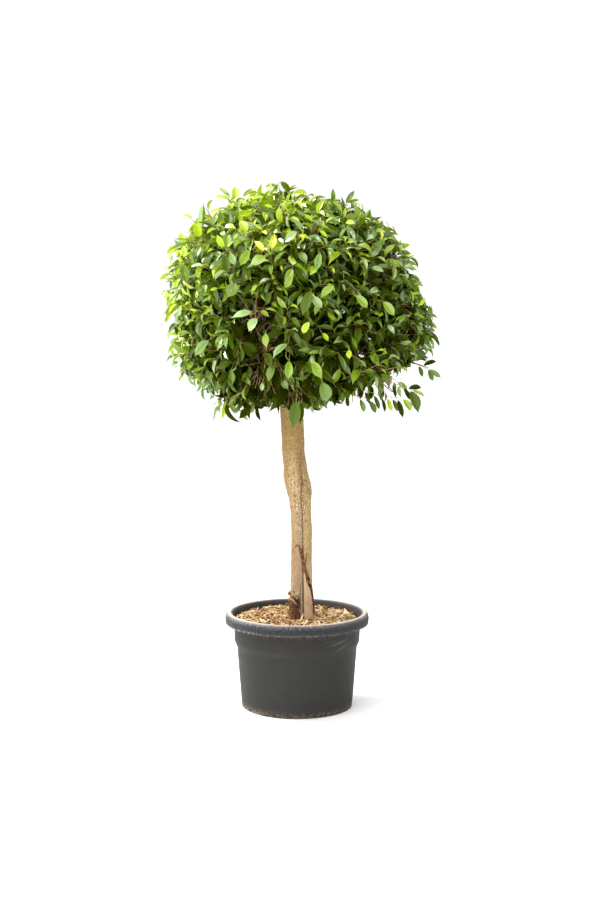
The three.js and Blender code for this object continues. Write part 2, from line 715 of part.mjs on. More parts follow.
// A stem from the bough's tip, a core, and leafy shoots that stand out of it.
function foliageSolid(owner) {
  const random = randomFrom(SEED + 100 + owner);
  const { tip, thin } = BOUGHS[owner];
  const limbs = boughSolid(owner, GAP);
  const begin = BOUGH_PATHS[owner].getPoint(1);
  begin.addScaledVector(BOUGH_PATHS[owner].getTangent(1), GAP);
  const middle = crownPoint(HEADINGS[owner], (tip + FOLIAGE.stemEnd) / 2);
  const stem = new THREE.QuadraticBezierCurve3(begin, middle, crownPoint(HEADINGS[owner], FOLIAGE.stemEnd));
  let mass = coreSolid(owner);
  mass = mass.add(solidOf(limb(stem, taper(thin, thin * FOLIAGE.stemTaper), FOLIAGE.stemSides, 3)));
  const shoots = [];
  const taken = [];
  for (const { direction, reach, limit } of SHOOTS[owner]) {
    const spread = (random() - 0.5) * 2 * FOLIAGE.reachSpread;
    const path = shootPath(stem, owner, direction, reach + spread);
    const radiusAt = taper(FOLIAGE.shootThick, FOLIAGE.shootThin);
    const shape = limb(path, radiusAt, FOLIAGE.shootSides, FOLIAGE.shootSteps);
    if (!fits(cornersOf(shape), owner, limit)) continue;
    mass = mass.add(solidOf(shape));
    shoots.push({ path, limit });
    taken.push(...path.getSpacedPoints(24));
  }
  for (let index = 0; index < FOLIAGE.leavesPerShoot; index++) {
    for (const { path, limit } of shoots) {
      const leaf = leafOn(path, index, owner, limit, taken, random);
      if (leaf) mass = mass.add(solidOf(leaf));
    }
  }
  return mass.subtract(limbs);
}

const container = new THREE.Group();
container.add(piece("pot", potSolid(), COLOURS.pot));
container.add(piece("soil", soilSolid(), COLOURS.soil));
container.add(piece("mulch", mulchSolid(stemSolid(GAP)), COLOURS.mulch));

const limbs = new THREE.Group();
limbs.add(piece("trunk", stemSolid(), COLOURS.bark));
let taken = stemSolid(GAP);
BOUGHS.forEach(({ name }, i) => {
  limbs.add(piece("bough_" + name, boughSolid(i).subtract(taken), COLOURS.bough));
  taken = taken.add(boughSolid(i, GAP));
});

// The foliage hangs in a group of its own at the crown's centre.
const crown = new THREE.Group();
crown.position.copy(CROWN.centre);
BOUGHS.forEach(({ name }, i) => {
  const mass = piece("foliage_" + name, foliageSolid(i), COLOURS.foliage);
  mass.geometry.translate(-CROWN.centre.x, -CROWN.centre.y, -CROWN.centre.z);
  crown.add(mass);
});

const topiary = new THREE.Group();
topiary.add(container, limbs, crown);

export default topiary;
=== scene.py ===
"""Looks of a standard (lollipop) topiary tree in a pot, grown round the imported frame.

Metres, +Z up, the front towards -Y. Trunk, boughs, shoots and sprays follow the rule of the solids:
each finer twig leaves its parent earlier the more it turns away from it, and bends out to its own
place on the crown.
"""

import math

import bpy
import numpy as np
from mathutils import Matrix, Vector, noise


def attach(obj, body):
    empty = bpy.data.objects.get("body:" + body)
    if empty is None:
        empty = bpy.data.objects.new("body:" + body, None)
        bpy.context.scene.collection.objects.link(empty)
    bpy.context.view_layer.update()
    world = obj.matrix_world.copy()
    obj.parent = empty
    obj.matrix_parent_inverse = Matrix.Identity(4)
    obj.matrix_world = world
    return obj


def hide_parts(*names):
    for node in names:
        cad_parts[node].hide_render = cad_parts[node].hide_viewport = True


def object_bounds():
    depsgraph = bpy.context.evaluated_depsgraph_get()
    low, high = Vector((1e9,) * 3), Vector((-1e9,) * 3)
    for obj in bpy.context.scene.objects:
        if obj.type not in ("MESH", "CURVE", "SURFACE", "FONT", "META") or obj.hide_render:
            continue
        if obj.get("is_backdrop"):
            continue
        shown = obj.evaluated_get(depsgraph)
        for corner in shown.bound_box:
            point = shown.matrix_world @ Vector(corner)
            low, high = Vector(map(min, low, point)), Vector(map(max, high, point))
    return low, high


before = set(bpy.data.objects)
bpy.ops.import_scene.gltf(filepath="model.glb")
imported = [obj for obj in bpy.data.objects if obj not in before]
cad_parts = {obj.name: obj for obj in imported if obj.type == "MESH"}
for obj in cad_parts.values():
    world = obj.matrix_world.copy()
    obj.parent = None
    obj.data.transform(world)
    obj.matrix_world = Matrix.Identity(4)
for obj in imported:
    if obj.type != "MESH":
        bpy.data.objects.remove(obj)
cad_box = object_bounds()

SEED = 4071
GOLDEN_ANGLE = math.pi * (3 - math.sqrt(5))
# The bearing of the front: bearings are degrees from +X towards +Y.
FRONT = -90
UP = np.array([0.0, 0.0, 1.0])
# A way that rises more than this counts as upright.
NEARLY_UPRIGHT = 0.9
# How fast fractal noise dies out, and how much finer each of its octaves is.
NOISE_DECAY = 0.9
NOISE_STEP = 2.0

# Pot: radius and height of each corner of its wall's middle line, then how it is rounded and meshed.
POT = {
    "foot": 0.216,
    "shoulder": (0.2315, 0.236),
    "collar": (0.242, 0.262),
    "neck": (0.2435, 0.332),
    "crest": (0.264, 0.370),
    "lip": (0.278, 0.349),
    "lip_foot": (0.276, 0.329),
    "rim_bend": 0.002,
    "foot_round": 0.004,
    "foot_rings": 5,
    "wall": 0.004,
    "wall_rings": (22, 7, 20),
    "rim_rings": 12,
    "lip_rings": 6,
    "floor": 0.006,
    "floor_rings": 12,
    "sides": 300,
    "drain_holes": 6,
    "drain_hole_radius": 0.011,
    "drain_hole_sides": 28,
    "drain_circle_radius": 0.165,
}
# The wall is a little out of round: waves round it, size of each and where it starts.
POT_WAVES = [(2, 0.0009, 0.6), (3, 0.0006, -1.1)]
# Radii and heights between which each form or mark of the pot comes in.
POT_SPANS = {
    "wall_height": (0.020, 0.060),
    "wall_radius": (0.200, 0.215),
    "rim_height": (0.322, 0.334),
    "rim_radius": (0.2445, 0.2475),
    "crest_height": (0.358, 0.366),
    "face_height": (0.350, 0.368),
    "face_radius": (0.262, 0.268),
    "lip_radius": (0.2700, 0.2765),
    "foot_radius": (0.205, 0.214),
    "dirt_radius": (0.200, 0.212),
    "under_rim_height": (0.300, 0.325),
    "inside_radius": (0.2490, 0.2560),
    "foot_dirt_height": (0.0, 0.035),
}
# How the pot is worn and soiled, and where highlights are painted on it: bearings in degrees, widths, and
# shares of full wear.
WEAR_AND_HIGHLIGHTS = {
    "worn_side": 150,
    "worn_span": (-0.2, 0.8),
    "far_side": 0.22,
    # The crest and the rim's face carry painted highlights as well as wear.
    "crest": 0.90,
    "crest_front": 0.70,
    "crest_width": 0.0070,
    "face": 0.60,
    "rim": (0.04, 0.16),
    "lip_height": 0.330,
    "lip_width": 0.0045,
    "foot_width": 0.013,
    "scuff": {"bearing": -147, "spread": 15},
    "foot_dirt": 0.6,
    "under_rim_dirt": 0.5,
    # The creases' lower edges carry a painted highlight.
    "crease": 0.9,
    "crease_highlight_edge": (-0.6, 0.0),
}
# Creases pressed into the wall: bearing and height of both ends, half width and depth.
POT_CREASES = [
    {"ends": ((-62, 0.282), (-34, 0.303)), "width": 0.0075, "depth": 0.0032},
    {"ends": ((-54, 0.262), (-30, 0.286)), "width": 0.0070, "depth": 0.0030},
    {"ends": ((-70, 0.296), (-50, 0.304)), "width": 0.0060, "depth": 0.0009},
    {"ends": ((-128, 0.252), (-96, 0.250)), "width": 0.0060, "depth": 0.0007},
    {"ends": ((118, 0.286), (140, 0.272)), "width": 0.0060, "depth": 0.0012},
]
CREASE_ENDS = (0.04, 0.96)
# Bed of chips: where it lies, and its dish, heap at the stem, waves and grain.
MULCH = {
    "foot": 0.3183,
    "top": 0.3435,
    "radius": 0.2385,
    "middle_ring": 0.002,
    "dish": 0.004,
    "heap": 0.006,
    "heap_spread": 0.09,
    "waves": 0.0035,
    "wave_scale": 22,
    "grain": 0.0022,
    "grain_scale": 95,
    "settled": 0.002,
    "rings": 40,
    "sides": 140,
}
# Kinds of chips: how many, ranges of length and width in metres, and how far they tilt in degrees.
CHIP_KINDS = [
    {"name": "golden", "count": 600, "length": (0.016, 0.052), "width": (0.0025, 0.0075), "tilt": 26},
    {"name": "pale", "count": 520, "length": (0.014, 0.056), "width": (0.0025, 0.0080), "tilt": 28},
    {"name": "tan", "count": 620, "length": (0.014, 0.046), "width": (0.003, 0.009), "tilt": 26},
    {"name": "brown", "count": 660, "length": (0.012, 0.040), "width": (0.003, 0.009), "tilt": 28},
    {"name": "flake", "count": 46, "length": (0.026, 0.044), "width": (0.012, 0.020), "tilt": 20},
    {"name": "straw", "count": 190, "length": (0.045, 0.095), "width": (0.0016, 0.0030), "tilt": 20},
]
# Base, pale and dark colour of the wood of the bed and of each kind of chip, in sRGB.
CHIP_TINTS = {
    # The bed's brown wood is darkened further as painted shade in the gaps between the chips.
    "bed": ((70, 46, 26), (120, 86, 52), (30, 18, 9)),
    "golden": ((184, 146, 88), (220, 190, 134), (124, 88, 46)),
    "pale": ((232, 208, 168), (246, 232, 204), (186, 152, 106)),
    "tan": ((166, 120, 78), (198, 158, 112), (98, 62, 36)),
    "brown": ((84, 54, 30), (124, 86, 52), (42, 25, 14)),
    "flake": ((226, 198, 160), (244, 228, 200), (176, 138, 98)),
    "straw": ((230, 202, 140), (246, 230, 182), (176, 140, 84)),
}
# Every chip: thickness as a share of its width, how ragged and bowed it is, and how it lies on the bed.
CHIP = {
    "thickness": (0.25, 0.60),
    "thickness_limits": (0.0012, 0.0040),
    "ragged": 0.07,
    "bow": 0.06,
    "middle": 0.02,
    "edge": 0.30,
    "rise": (-0.001, 0.004),
    "tilt_lift": 0.22,
    "rim_play": 0.001,
    "stem_share": 0.96,
}

# The stem: height, lean in x and y, radius.
STEM = np.array(
    [
        [0.3183, 0.019, 0.000, 0.0490],
        [0.400, 0.018, 0.000, 0.0445],
        [0.575, 0.018, 0.003, 0.0405],
        [0.693, 0.018, 0.006, 0.0405],
        [0.752, 0.016, 0.008, 0.0400],
        [0.810, 0.011, 0.009, 0.0425],
        [0.869, 0.003, 0.009, 0.0475],
        [0.927, -0.005, 0.008, 0.0445],
        [1.005, -0.014, 0.006, 0.0435],
        [1.180, -0.021, 0.003, 0.0445],
        [1.270, -0.020, 0.002, 0.0460],
        [1.350, -0.017, 0.001, 0.0390],
        [1.425, -0.014, 0.000, 0.0280],
    ]
)
STEM_FOOT = STEM[0, 0]
STEM_TIP = STEM[-1, 0]
STEM_MESH = {"sides": 128, "ring_gap": 0.0032, "smooth_foot": 0.01}
# Grooves down the stem, which fade out between two heights. Bearings and spreads are in degrees.
STEM_GROOVES = [
    {"bearing": -78, "depth": 0.11, "spread": 16},
    {"bearing": 74, "depth": 0.08, "spread": 24},
]
GROOVE_FADE = (0.750, 1.200)
# The seam down the front, and the brown band beside it, bend aside at the kink.
SEAM = {
    "bearing": -82,
    "bend": 22,
    "bend_heights": (0.80, 0.92),
    "spread": 3.2,
    "depth": 0.0030,
    "top": (0.86, 1.04),
}
# Grown onto the stem's foot: height and bearing of each stop, depth of the middle, thick and thin radius.
STEM_GROWTHS = [
    {
        "stops": [(0.325, -50), (0.420, -48), (0.510, -58), (0.600, -68)],
        "sink": 0.009,
        "radii": (0.022, 0.008),
    },
    {
        "stops": [(0.325, -128), (0.370, -134), (0.425, -140)],
        "sink": 0.007,
        "radii": (0.017, 0.013),
    },
    {
        "stops": [(0.425, -172), (0.438, -140), (0.446, -108)],
        "sink": 0.003,
        "radii": (0.009, 0.008),
    },
]
GROWTH = {"beads": 60, "top": 0.64, "blend": 0.0022}
# Knots and scars: height, bearing, radius and how proud.
KNOTS = [
    (1.071, -93, 0.0065, 0.0030),
    (0.970, -112, 0.0060, 0.0022),
    (0.877, -64, 0.0080, 0.0035),
    (0.830, -111, 0.0075, 0.0040),
    (1.093, -126, 0.0050, 0.0020),
    (1.010, -128, 0.0045, 0.0020),
    (0.905, 60, 0.0080, 0.0035),
    (0.700, 130, 0.0070, 0.0030),
    (1.040, 100, 0.0065, 0.0030),
    (0.560, 20, 0.0060, 0.0022),
    (0.780, 175, 0.0070, 0.0030),
]
# Swells at the kink: height, bearing, radius and how proud.
STEM_BUMPS = [(0.895, 180, 0.035, 0.006), (0.845, 0, 0.045, 0.006)]
# A knot is drawn out upwards and has a pit with a dark heart: shares of its height and its radius.
KNOT = {"flatten": 0.8, "pit": 0.75, "pit_radius": 0.45, "heart_radius": 0.6}
# The bark's swells, ridges and flakes: size, scale, octaves and how far each is drawn out upwards.
STEM_RELIEF = [(0.0018, 28, 2, 0.35), (0.0015, 130, 3, 0.35), (0.0006, 330, 2, 1.0)]
# Where the colours of the bark and its painted shade lie: bearings and spreads in degrees, and heights at
# which they come or end.
BARK = {
    "lobe": {"edge": (6, 14), "reach": 130, "top": (0.70, 0.86)},
    "root": {"reach": 96, "top": (0.48, 0.60)},
    "band": {"bearing": -76, "bend": 24, "bend_heights": (0.82, 1.02), "spread": 13, "foot": (0.66, 0.80)},
    "pale": {"bearing": -78, "edge": 12, "right": 0.70, "height": 0.82, "rise": 0.13, "elsewhere": 0.18},
    # Painted shade: the top, under the crown, is darker and olive.
    "olive_crown_shade": {"foot": (0.88, 1.06)},
    "streak": {"bearing": -97, "spread": 20, "height": 0.97, "rise": 0.10},
    # Painted shade down the stem's left side.
    "left_shade": {"bearing": -108, "edge": 40, "foot": (0.46, 0.60)},
    "rough": {"foot_share": 0.35, "foot": (0.62, 0.86), "top_loss": 0.45, "top": (0.96, 1.10)},
    "lichen": {"bearing": -89, "spread": 6, "top": (0.44, 0.50)},
    # Painted shade at the foot's right edge and under the stringy bark.
    "right_edge": {"bearing": -4, "edge": 14, "middle": 30, "reach": 60, "top": (0.40, 0.50)},
    "patch": {"bearing": -92, "edge": 8, "reach": 84, "top": (0.425, 0.445)},
    "ground": {"top": (0.340, 0.362)},
}
# The painted shade beside the dead root: height and bearing of each stop, and its spread.
ROOT_SHADE_STOPS = np.array([(0.33, -6), (0.424, -10), (0.473, -32), (0.522, -60), (0.573, -78), (0.62, -90)])
# How strong each dark mark is: painted shade by the root and at the foot's right edge, and dark ground and
# knots.
SHADE_AND_STAIN = {"spread": 6, "top": 0.63, "by_root": 0.7, "right_edge": 0.7, "ground": 0.3, "knots": 0.75}
# Dead climbing root and its side strands: height, bearing and radius of each stop, and how many threads.
STRANDS = [
    {
        "stops": [
            (0.330, -8, 0.0046),
            (0.424, -14, 0.0046),
            (0.473, -37, 0.0050),
            (0.522, -62, 0.0050),
            (0.573, -80, 0.0034),
            (0.620, -92, 0.0026),
            (0.643, -110, 0.0020),
            (0.628, -130, 0.0018),
            (0.609, -147, 0.0016),
        ],
        "threads": 4,
        "spread": 3.4,
    },
    {
        "stops": [
            (0.330, -14, 0.0022),
            (0.410, -22, 0.0022),
            (0.480, -46, 0.0024),
            (0.540, -72, 0.0024),
            (0.640, -97, 0.0014),
        ],
        "threads": 9,
        "spread": 11.0,
    },
    {"stops": [(0.548, -74, 0.0026), (0.58, -66, 0.002), (0.607, -58, 0.0014)], "threads": 2, "spread": 2.0},
    {"stops": [(0.33, -80, 0.0016), (0.45, -80, 0.0015), (0.545, -79, 0.0013)], "threads": 1, "spread": 1.2},
    {"stops": [(0.36, -98, 0.0014), (0.44, -97, 0.0013), (0.48, -99, 0.0008)], "threads": 1, "spread": 1.5},
]
# Threads of a strand: how they are smoothed, how thin beside it, and how far they lift, sink and waver.
STRAND = {
    "steps": 64,
    "sides": 6,
    "smoothings": 3,
    "smoothing": (0.25, 0.5, 0.25),
    "thinness": (0.50, 0.85),
    "lift": 0.002,
    "proud": 0.4,
    "waver": 0.25,
}
# Rings over which a wandering line is evened out.
SWAY_WINDOW = 9
# Stringy dead bark on the left of the foot: thick ropes with fine fibres between them.
FIBRES = [
    {"count": 8, "bearings": (-172, -92), "slant": 10, "tops": (0.398, 0.432), "radius": (0.0032, 0.0048)},
    {"count": 22, "bearings": (-170, -90), "slant": 8, "tops": (0.380, 0.436), "radius": (0.0012, 0.0022)},
]
FIBRE = {
    "foot": 0.326,
    "stray": (0.1, 0.9),
    "steps": 26,
    "sides": 6,
    "sway": 3.0,
    "tip": 0.6,
    "proud": 0.3,
    "waver": 0.22,
}
# Dead ends that curl round the left of the foot: start and end bearing, height, arch and radius.
STUBS = [
    {"bearings": (-182, -112), "height": 0.440, "arch": 0.020, "radius": 0.0085},
    {"bearings": (-166, -114), "height": 0.414, "arch": 0.017, "radius": 0.0065},
]
STUB = {
    "steps": 40,
    "sides": 10,
    "droop": 0.6,
    "taper": 0.45,
    "ring_turns": 19,
    "ring_depth": 0.10,
    "proud": 0.3,
    "waver": 0.10,
}

# The crown is a rounded box of a ball, drawn out a little towards its upper left and lower right.
CROWN = {
    "centre": np.array([0.008, 0.0, 1.583]),
    "half_width": 0.532,
    "half_depth": 0.518,
    "rise": 0.428,
    "drop": 0.430,
    "upper_roundness": 2.4,
    "lower_roundness": 3.6,
    "skew": 0.07,
}
# One bough carries each mass: name, azimuth, elevation, height of the fork, share at the tip, radii.
BOUGHS = [
    ("lower_right", 14, -33, 1.290, 0.49, 0.017, 0.009),
    ("lower_back", 88, -35, 1.305, 0.49, 0.016, 0.009),
    ("lower_left", 163, -32, 1.322, 0.49, 0.018, 0.009),
    ("lower_front_left", 235, -35, 1.282, 0.49, 0.016, 0.009),
    ("lower_front_right", 306, -34, 1.300, 0.49, 0.017, 0.009),
    ("upper_back_right", 51, 26, 1.376, 0.45, 0.018, 0.010),
    ("upper_back_left", 127, 25, 1.390, 0.45, 0.017, 0.010),
    ("upper_left", 199, 24, 1.384, 0.45, 0.020, 0.010),
    ("upper_front", 271, 26, 1.372, 0.45, 0.018, 0.010),
    ("upper_right", 343, 23, 1.394, 0.45, 0.018, 0.010),
    ("top", 180, 88, 1.425, 0.42, 0.025, 0.011),
]
# Where a bough bends: shares of its way out and up.
BOUGH_ARCH = {"outward": 0.55, "lower_rise": 0.45, "upper_rise": 0.35}
# Every bough: rings and corners, taper of its mass's stem, collar at the fork, and how uneven it is.
LIMB = {
    "steps": 34,
    "sides": 16,
    "tip": 0.6,
    "collar": 0.25,
    "collar_rings": 7,
    "knobs": 0.07,
    "knob_blend": (0.3, 0.5, 0.3),
    "waver": 0.05,
    "wander": 0.0010,
}
LEADER_SWAY = np.array([0.014, -0.009, 0.0])
# The share of the crown's radius at which each mass's stem ends.
STEM_END = 0.66

# Shoots, as in the solids: dealt evenly by the golden angle, with some grown past the clipped outline.
SHOOTS = {
    "count": 116,
    "spacing": 11,
    "reach": 0.91,
    "spread": 0.02,
    "elbow": 0.68,
    "gather": 0.3,
    "lowest_start": 0.25,
}
# Shoots that stand out: azimuth, elevation, reach, and the limit that their leaves keep to.
LONG_SHOOTS = [
    (172, 84, 0.97, 1.09),
    (181, 56, 0.93, 1.03),
    (3, 61, 0.94, 1.04),
    (183, 21, 0.92, 1.02),
    (176, -33, 0.93, 1.04),
    (187, -42, 0.94, 1.06),
    (191, -53, 0.99, 1.20),
    (3, -6, 0.92, 1.03),
    (352, -25, 0.94, 1.05),
    (66, 42, 0.93, 1.03),
    (112, -12, 0.93, 1.04),
    (75, -56, 0.93, 1.08),
]
# Sprays are the shoots' own finer twigs. Reach is the share of the crown's radius that their tips come to.
SPRAYS = [
    {"count": 1020, "reach": (0.84, 0.935), "elbow": 0.76, "limit": 1.005, "leaves": 12, "tops": True},
    {"count": 360, "reach": (0.64, 0.80), "elbow": 0.60, "limit": 0.96, "leaves": 9, "tops": False},
    {"count": 150, "reach": (0.42, 0.58), "elbow": 0.36, "limit": 0.80, "leaves": 8, "tops": False},
]
# Every spray: where it leaves its shoot and how it bends. Angles from the shoot are in radians.
SPRAY = {
    "scatter": 0.035,
    "gather": 0.35,
    "starts": (0.30, 0.93),
    "start_turn": 3.2,
    "start_scatter": 0.08,
    "start_back": 0.22,
    "elbow_back": 0.12,
    "bend_share": 0.8,
    "droop": 0.012,
    "top_angle": 0.12,
    "top_reach": (0.97, 1.0),
    "limit_angle": 0.16,
}
# Leaves: lengths in metres, lean, roll and fold in degrees, turns, bend and twist in radians. Those at a
# spray's tip are young, and lean, hang and measure less than those some nodes back.
LEAF = {
    "gap": 0.0165,
    "tip_gap": 0.004,
    "lowest_share": 0.12,
    "age_nodes": 5,
    "length": 0.072,
    "length_spread": 0.014,
    "length_limits": (0.55, 1.45),
    "young_length": 0.62,
    "length_nodes": 2.5,
    "width_share": 0.50,
    "width_spread": 0.05,
    "young_width": 0.86,
    "turn_across": 40,
    "turn_spread": 0.35,
    "tip_lean": 34,
    "root_lean": 80,
    "lean_spread": 9,
    "roll": 31,
    "face_spread": 0.34,
    "hang": 0.30,
    "low_hang": 0.65,
    "low_side": (0.25, 0.75),
    "young_hang": 0.45,
    "hang_spread": (0.4, 1.6),
    "lift": 0.9,
    "limit_spread": 0.012,
    "bend": (0.35, 1.35),
    "fold": (20, 52),
    "twist": 0.55,
    "ripple": 0.0010,
    "ripple_turns": 9,
    "stalk": 0.012,
    "stalk_lean": 0.5,
    "stalk_spread": (0.7, 1.3),
    "stalk_radii": (0.00099, 0.00081, 0.00054),
    "stalk_end": 0.04,
    "rib_stations": (0.0, 0.5, 0.9),
    "rib_width": 0.0022,
    "rib_taper": (1.0, 0.7, 0.2),
    "rib_lift": 0.0006,
    "coat_roughness": 0.17,
}
# The leaf's outline: stations along it, powers that set its belly and fullness, and how its tip narrows.
LEAF_STATIONS = np.array([0.0, 0.06, 0.17, 0.31, 0.47, 0.63, 0.77, 0.87, 0.94, 1.0])
LEAF_OUTLINE = {"belly": 0.82, "fullness": 0.86, "tip_loss": 0.62, "tip": (0.62, 0.97)}
# Places where fewer leaves let the twigs or the sky show: azimuth, elevation, spread, share of leaves kept.
THIN_PLACES = [
    (250, -13, 12, 0.12),
    (243, -4, 9, 0.25),
    (254, -24, 10, 0.20),
    (262, -46, 10, 0.20),
    (243, -38, 12, 0.30),
    (352, -40, 12, 0.60),
]
# Only outer leaves are thinned: shares of the radius over which that comes in, and how sharply it ends.
THIN_SHELL = (0.50, 0.72)
THIN_POWER = 4
# Leaf colours from the shaded inside to the young tips: name, sRGB, roughness, specular level, gloss.
LEAF_TONES = [
    ("deep", (42, 50, 3), 0.90, 0.0, 0.0),
    ("dark", (58, 71, 3), 0.70, 0.08, 0.0),
    ("mid", (78, 99, 4), 0.46, 0.20, 0.28),
    ("fresh", (96, 125, 8), 0.36, 0.40, 0.75),
    ("bright", (128, 158, 16), 0.34, 0.50, 1.0),
    # Painted sheen: a pale grey-green base colour that stands for the sky reflected on glossy leaves.
    ("painted_sheen", (138, 169, 94), 0.28, 0.58, 1.0),
    # Lime and yellow are young leaves, brightened as a painted glow of leaves that the sky lights from
    # behind.
    ("lime", (170, 194, 18), 0.38, 0.45, 0.80),
    ("yellow", (206, 212, 36), 0.40, 0.45, 0.70),
]
# Where one colour gives way to the next, and the ends of the whole range.
TONE_EDGES = (0.10, 0.24, 0.38, 0.52, 0.64, 0.72, 1.00)
TONE_ENDS = (0.0, 1.2)
TONE_NAMES = [tone[0] for tone in LEAF_TONES]
# Sprays on the side that the sky lights, up, to the left and a little back, get lighter and glossier tones:
# painted light.
LIT_SIDE = (-0.52, 0.50, 0.70)
# Places painted lighter or darker besides, as painted light and shade: azimuth, elevation, spread in
# degrees, change of the tone.
LIT_AND_SHADED_PLACES = [
    (350, -44, 26, 0.12),
    (352, 4, 26, 0.09),
    (4, 26, 18, 0.06),
    (184, 10, 24, 0.09),
    (130, 12, 50, -0.16),
    (232, -46, 28, -0.17),
    (275, -22, 34, -0.11),
    (265, 62, 30, 0.11),
]
TONE_CLUSTERS = {"amount": 0.11, "scale": 3.4, "shift": 3.1}
# The tone of a spray, from 0 to 1, and how far it strays. Young leaves are lighter, old ones darker.
TONE = {
    "middle": 0.405,
    "lit": 0.24,
    # Sprays further in are darker, as painted shade.
    "outer": 0.16,
    "outer_reach": (0.70, 0.93),
    "spray_spread": 0.12,
    "leaf_spread": 0.08,
    "young": 0.27,
    "old": -0.19,
    "age_power": 0.7,
}
# Where the clipped outline swells or falls in: azimuth, elevation, spread in degrees, change of the share.
SWELLS = [
    (183, 41, 16, -0.155),
    (0, 38, 14, -0.010),
    (356, 20, 12, -0.095),
    (0, -26, 7, -0.035),
    (0, -36, 8, -0.050),
    (350, -64, 12, -0.080),
    (178, -31, 11, 0.095),
    (180, -46, 7, -0.040),
    (225, -52, 12, 0.040),
    (182, -4, 8, 0.030),
    (184, 12, 8, -0.030),
    (0, -9, 9, 0.015),
    (358, 17, 10, -0.050),
    (180, -17, 7, -0.025),
    (60, 20, 16, -0.020),
    (110, -34, 16, 0.020),
]
# To the right of a point the underside rises, and the open twigs hang out below it.
UNDERSIDE = {
    "from": 0.08,
    "height": 1.158,
    "rise": 0.47,
    "spread": 0.008,
    "clearance": 0.055,
    "step": 0.03,
    "steps": 9,
}
# Where sky shows right through: x and z of the line of sight at SIGHT_DEPTH, and its radius.
SIGHT_GAPS = [
    (0.249, 1.432, 0.030),
    (0.234, 1.379, 0.028),
    (0.316, 1.672, 0.027),
    (0.365, 1.752, 0.027),
    (0.282, 1.762, 0.020),
    (0.046, 1.232, 0.020),
]
SIGHT_DEPTH = -0.15
SIGHT_KEPT = 0.06
# Noise on the clipped outline.
UNEVENNESS = {"amount": 0.030, "scale": 2.6, "shift": 7.3}
# Open twigs that hang out low on the right and under the left: start, bend, end and number of leaves.
OPEN_TWIGS = [
    ((0.150, -0.10, 1.310), (0.270, -0.14, 1.215), (0.392, -0.15, 1.220), 0),
    ((0.180, -0.08, 1.350), (0.330, -0.14, 1.275), (0.424, -0.15, 1.252), 0),
    ((0.280, -0.02, 1.400), (0.410, -0.10, 1.370), (0.482, -0.15, 1.328), 0),
    ((0.100, -0.20, 1.300), (0.180, -0.24, 1.235), (0.262, -0.24, 1.222), 0),
    ((0.150, -0.30, 1.290), (0.230, -0.40, 1.325), (0.325, -0.42, 1.372), 2),
    ((0.160, -0.28, 1.300), (0.270, -0.38, 1.325), (0.375, -0.36, 1.345), 2),
    ((0.160, 0.04, 1.320), (0.270, 0.10, 1.275), (0.345, 0.14, 1.225), 4),
    ((0.220, 0.06, 1.360), (0.350, 0.16, 1.300), (0.410, 0.22, 1.245), 4),
    ((0.120, 0.14, 1.300), (0.240, 0.26, 1.260), (0.300, 0.32, 1.220), 4),
    ((-0.160, -0.14, 1.28), (-0.240, -0.20, 1.230), (-0.290, -0.24, 1.185), 5),
    ((-0.140, -0.05, 1.27), (-0.230, -0.06, 1.220), (-0.300, -0.07, 1.195), 5),
    ((-0.080, -0.18, 1.26), (-0.130, -0.25, 1.210), (-0.170, -0.30, 1.185), 5),
]
# What the leaves that grow on the open twigs have instead of the common values.
OPEN = {"gap": 0.026, "hang": 1.7, "limit": 1.2, "reach": 0.9}
# Leaves that stand out before the rest, each on its own twig: x and z of the root, the way it points
# in degrees from +X towards up, length, breadth as a share of it, and tone.
FRONT_LEAVES = [
    (-0.350, 1.812, 100, 0.056, 0.80, "lime"),
    (-0.178, 1.826, 112, 0.052, 0.72, "lime"),
    (-0.088, 1.765, 80, 0.062, 0.50, "yellow"),
    (-0.115, 1.757, 124, 0.060, 0.42, "yellow"),
    (-0.165, 1.760, -125, 0.070, 0.56, "bright"),
    (-0.110, 1.736, 207, 0.066, 0.60, "bright"),
    (-0.254, 1.740, -73, 0.062, 0.60, "mid"),
    (-0.236, 1.750, -58, 0.050, 0.60, "painted_sheen"),
    (-0.215, 1.643, -120, 0.060, 0.72, "fresh"),
    (0.000, 1.825, 215, 0.062, 0.52, "painted_sheen"),
    (0.082, 1.749, -105, 0.066, 0.60, "painted_sheen"),
    (0.050, 1.616, -113, 0.096, 0.44, "mid"),
    (0.050, 1.596, -38, 0.062, 0.56, "painted_sheen"),
    (0.128, 1.634, 218, 0.064, 0.56, "bright"),
    (0.210, 1.600, -43, 0.066, 0.52, "bright"),
    (0.309, 1.578, -52, 0.068, 0.52, "bright"),
    (-0.016, 1.669, -126, 0.052, 0.60, "bright"),
    (-0.160, 1.543, 193, 0.078, 0.42, "painted_sheen"),
    (-0.034, 1.431, 221, 0.076, 0.52, "painted_sheen"),
    (-0.027, 1.371, -93, 0.070, 0.56, "bright"),
    (0.057, 1.367, -58, 0.070, 0.60, "bright"),
    (0.090, 1.294, -72, 0.084, 0.60, "fresh"),
    (0.044, 1.508, -127, 0.054, 0.52, "lime"),
    (-0.412, 1.714, -68, 0.072, 0.52, "fresh"),
    (-0.318, 1.440, -130, 0.080, 0.54, "painted_sheen"),
    (-0.140, 1.520, -128, 0.064, 0.60, "painted_sheen"),
    (-0.110, 1.467, -82, 0.052, 0.55, "bright"),
    (0.185, 1.410, -90, 0.034, 0.72, "lime"),
    (0.092, 1.468, -50, 0.034, 0.72, "lime"),
    (-0.001, 1.222, -97, 0.104, 0.44, "mid"),
    (0.018, 1.217, -95, 0.086, 0.30, "dark"),
    (-0.268, 1.205, -94, 0.084, 0.26, "lime"),
]
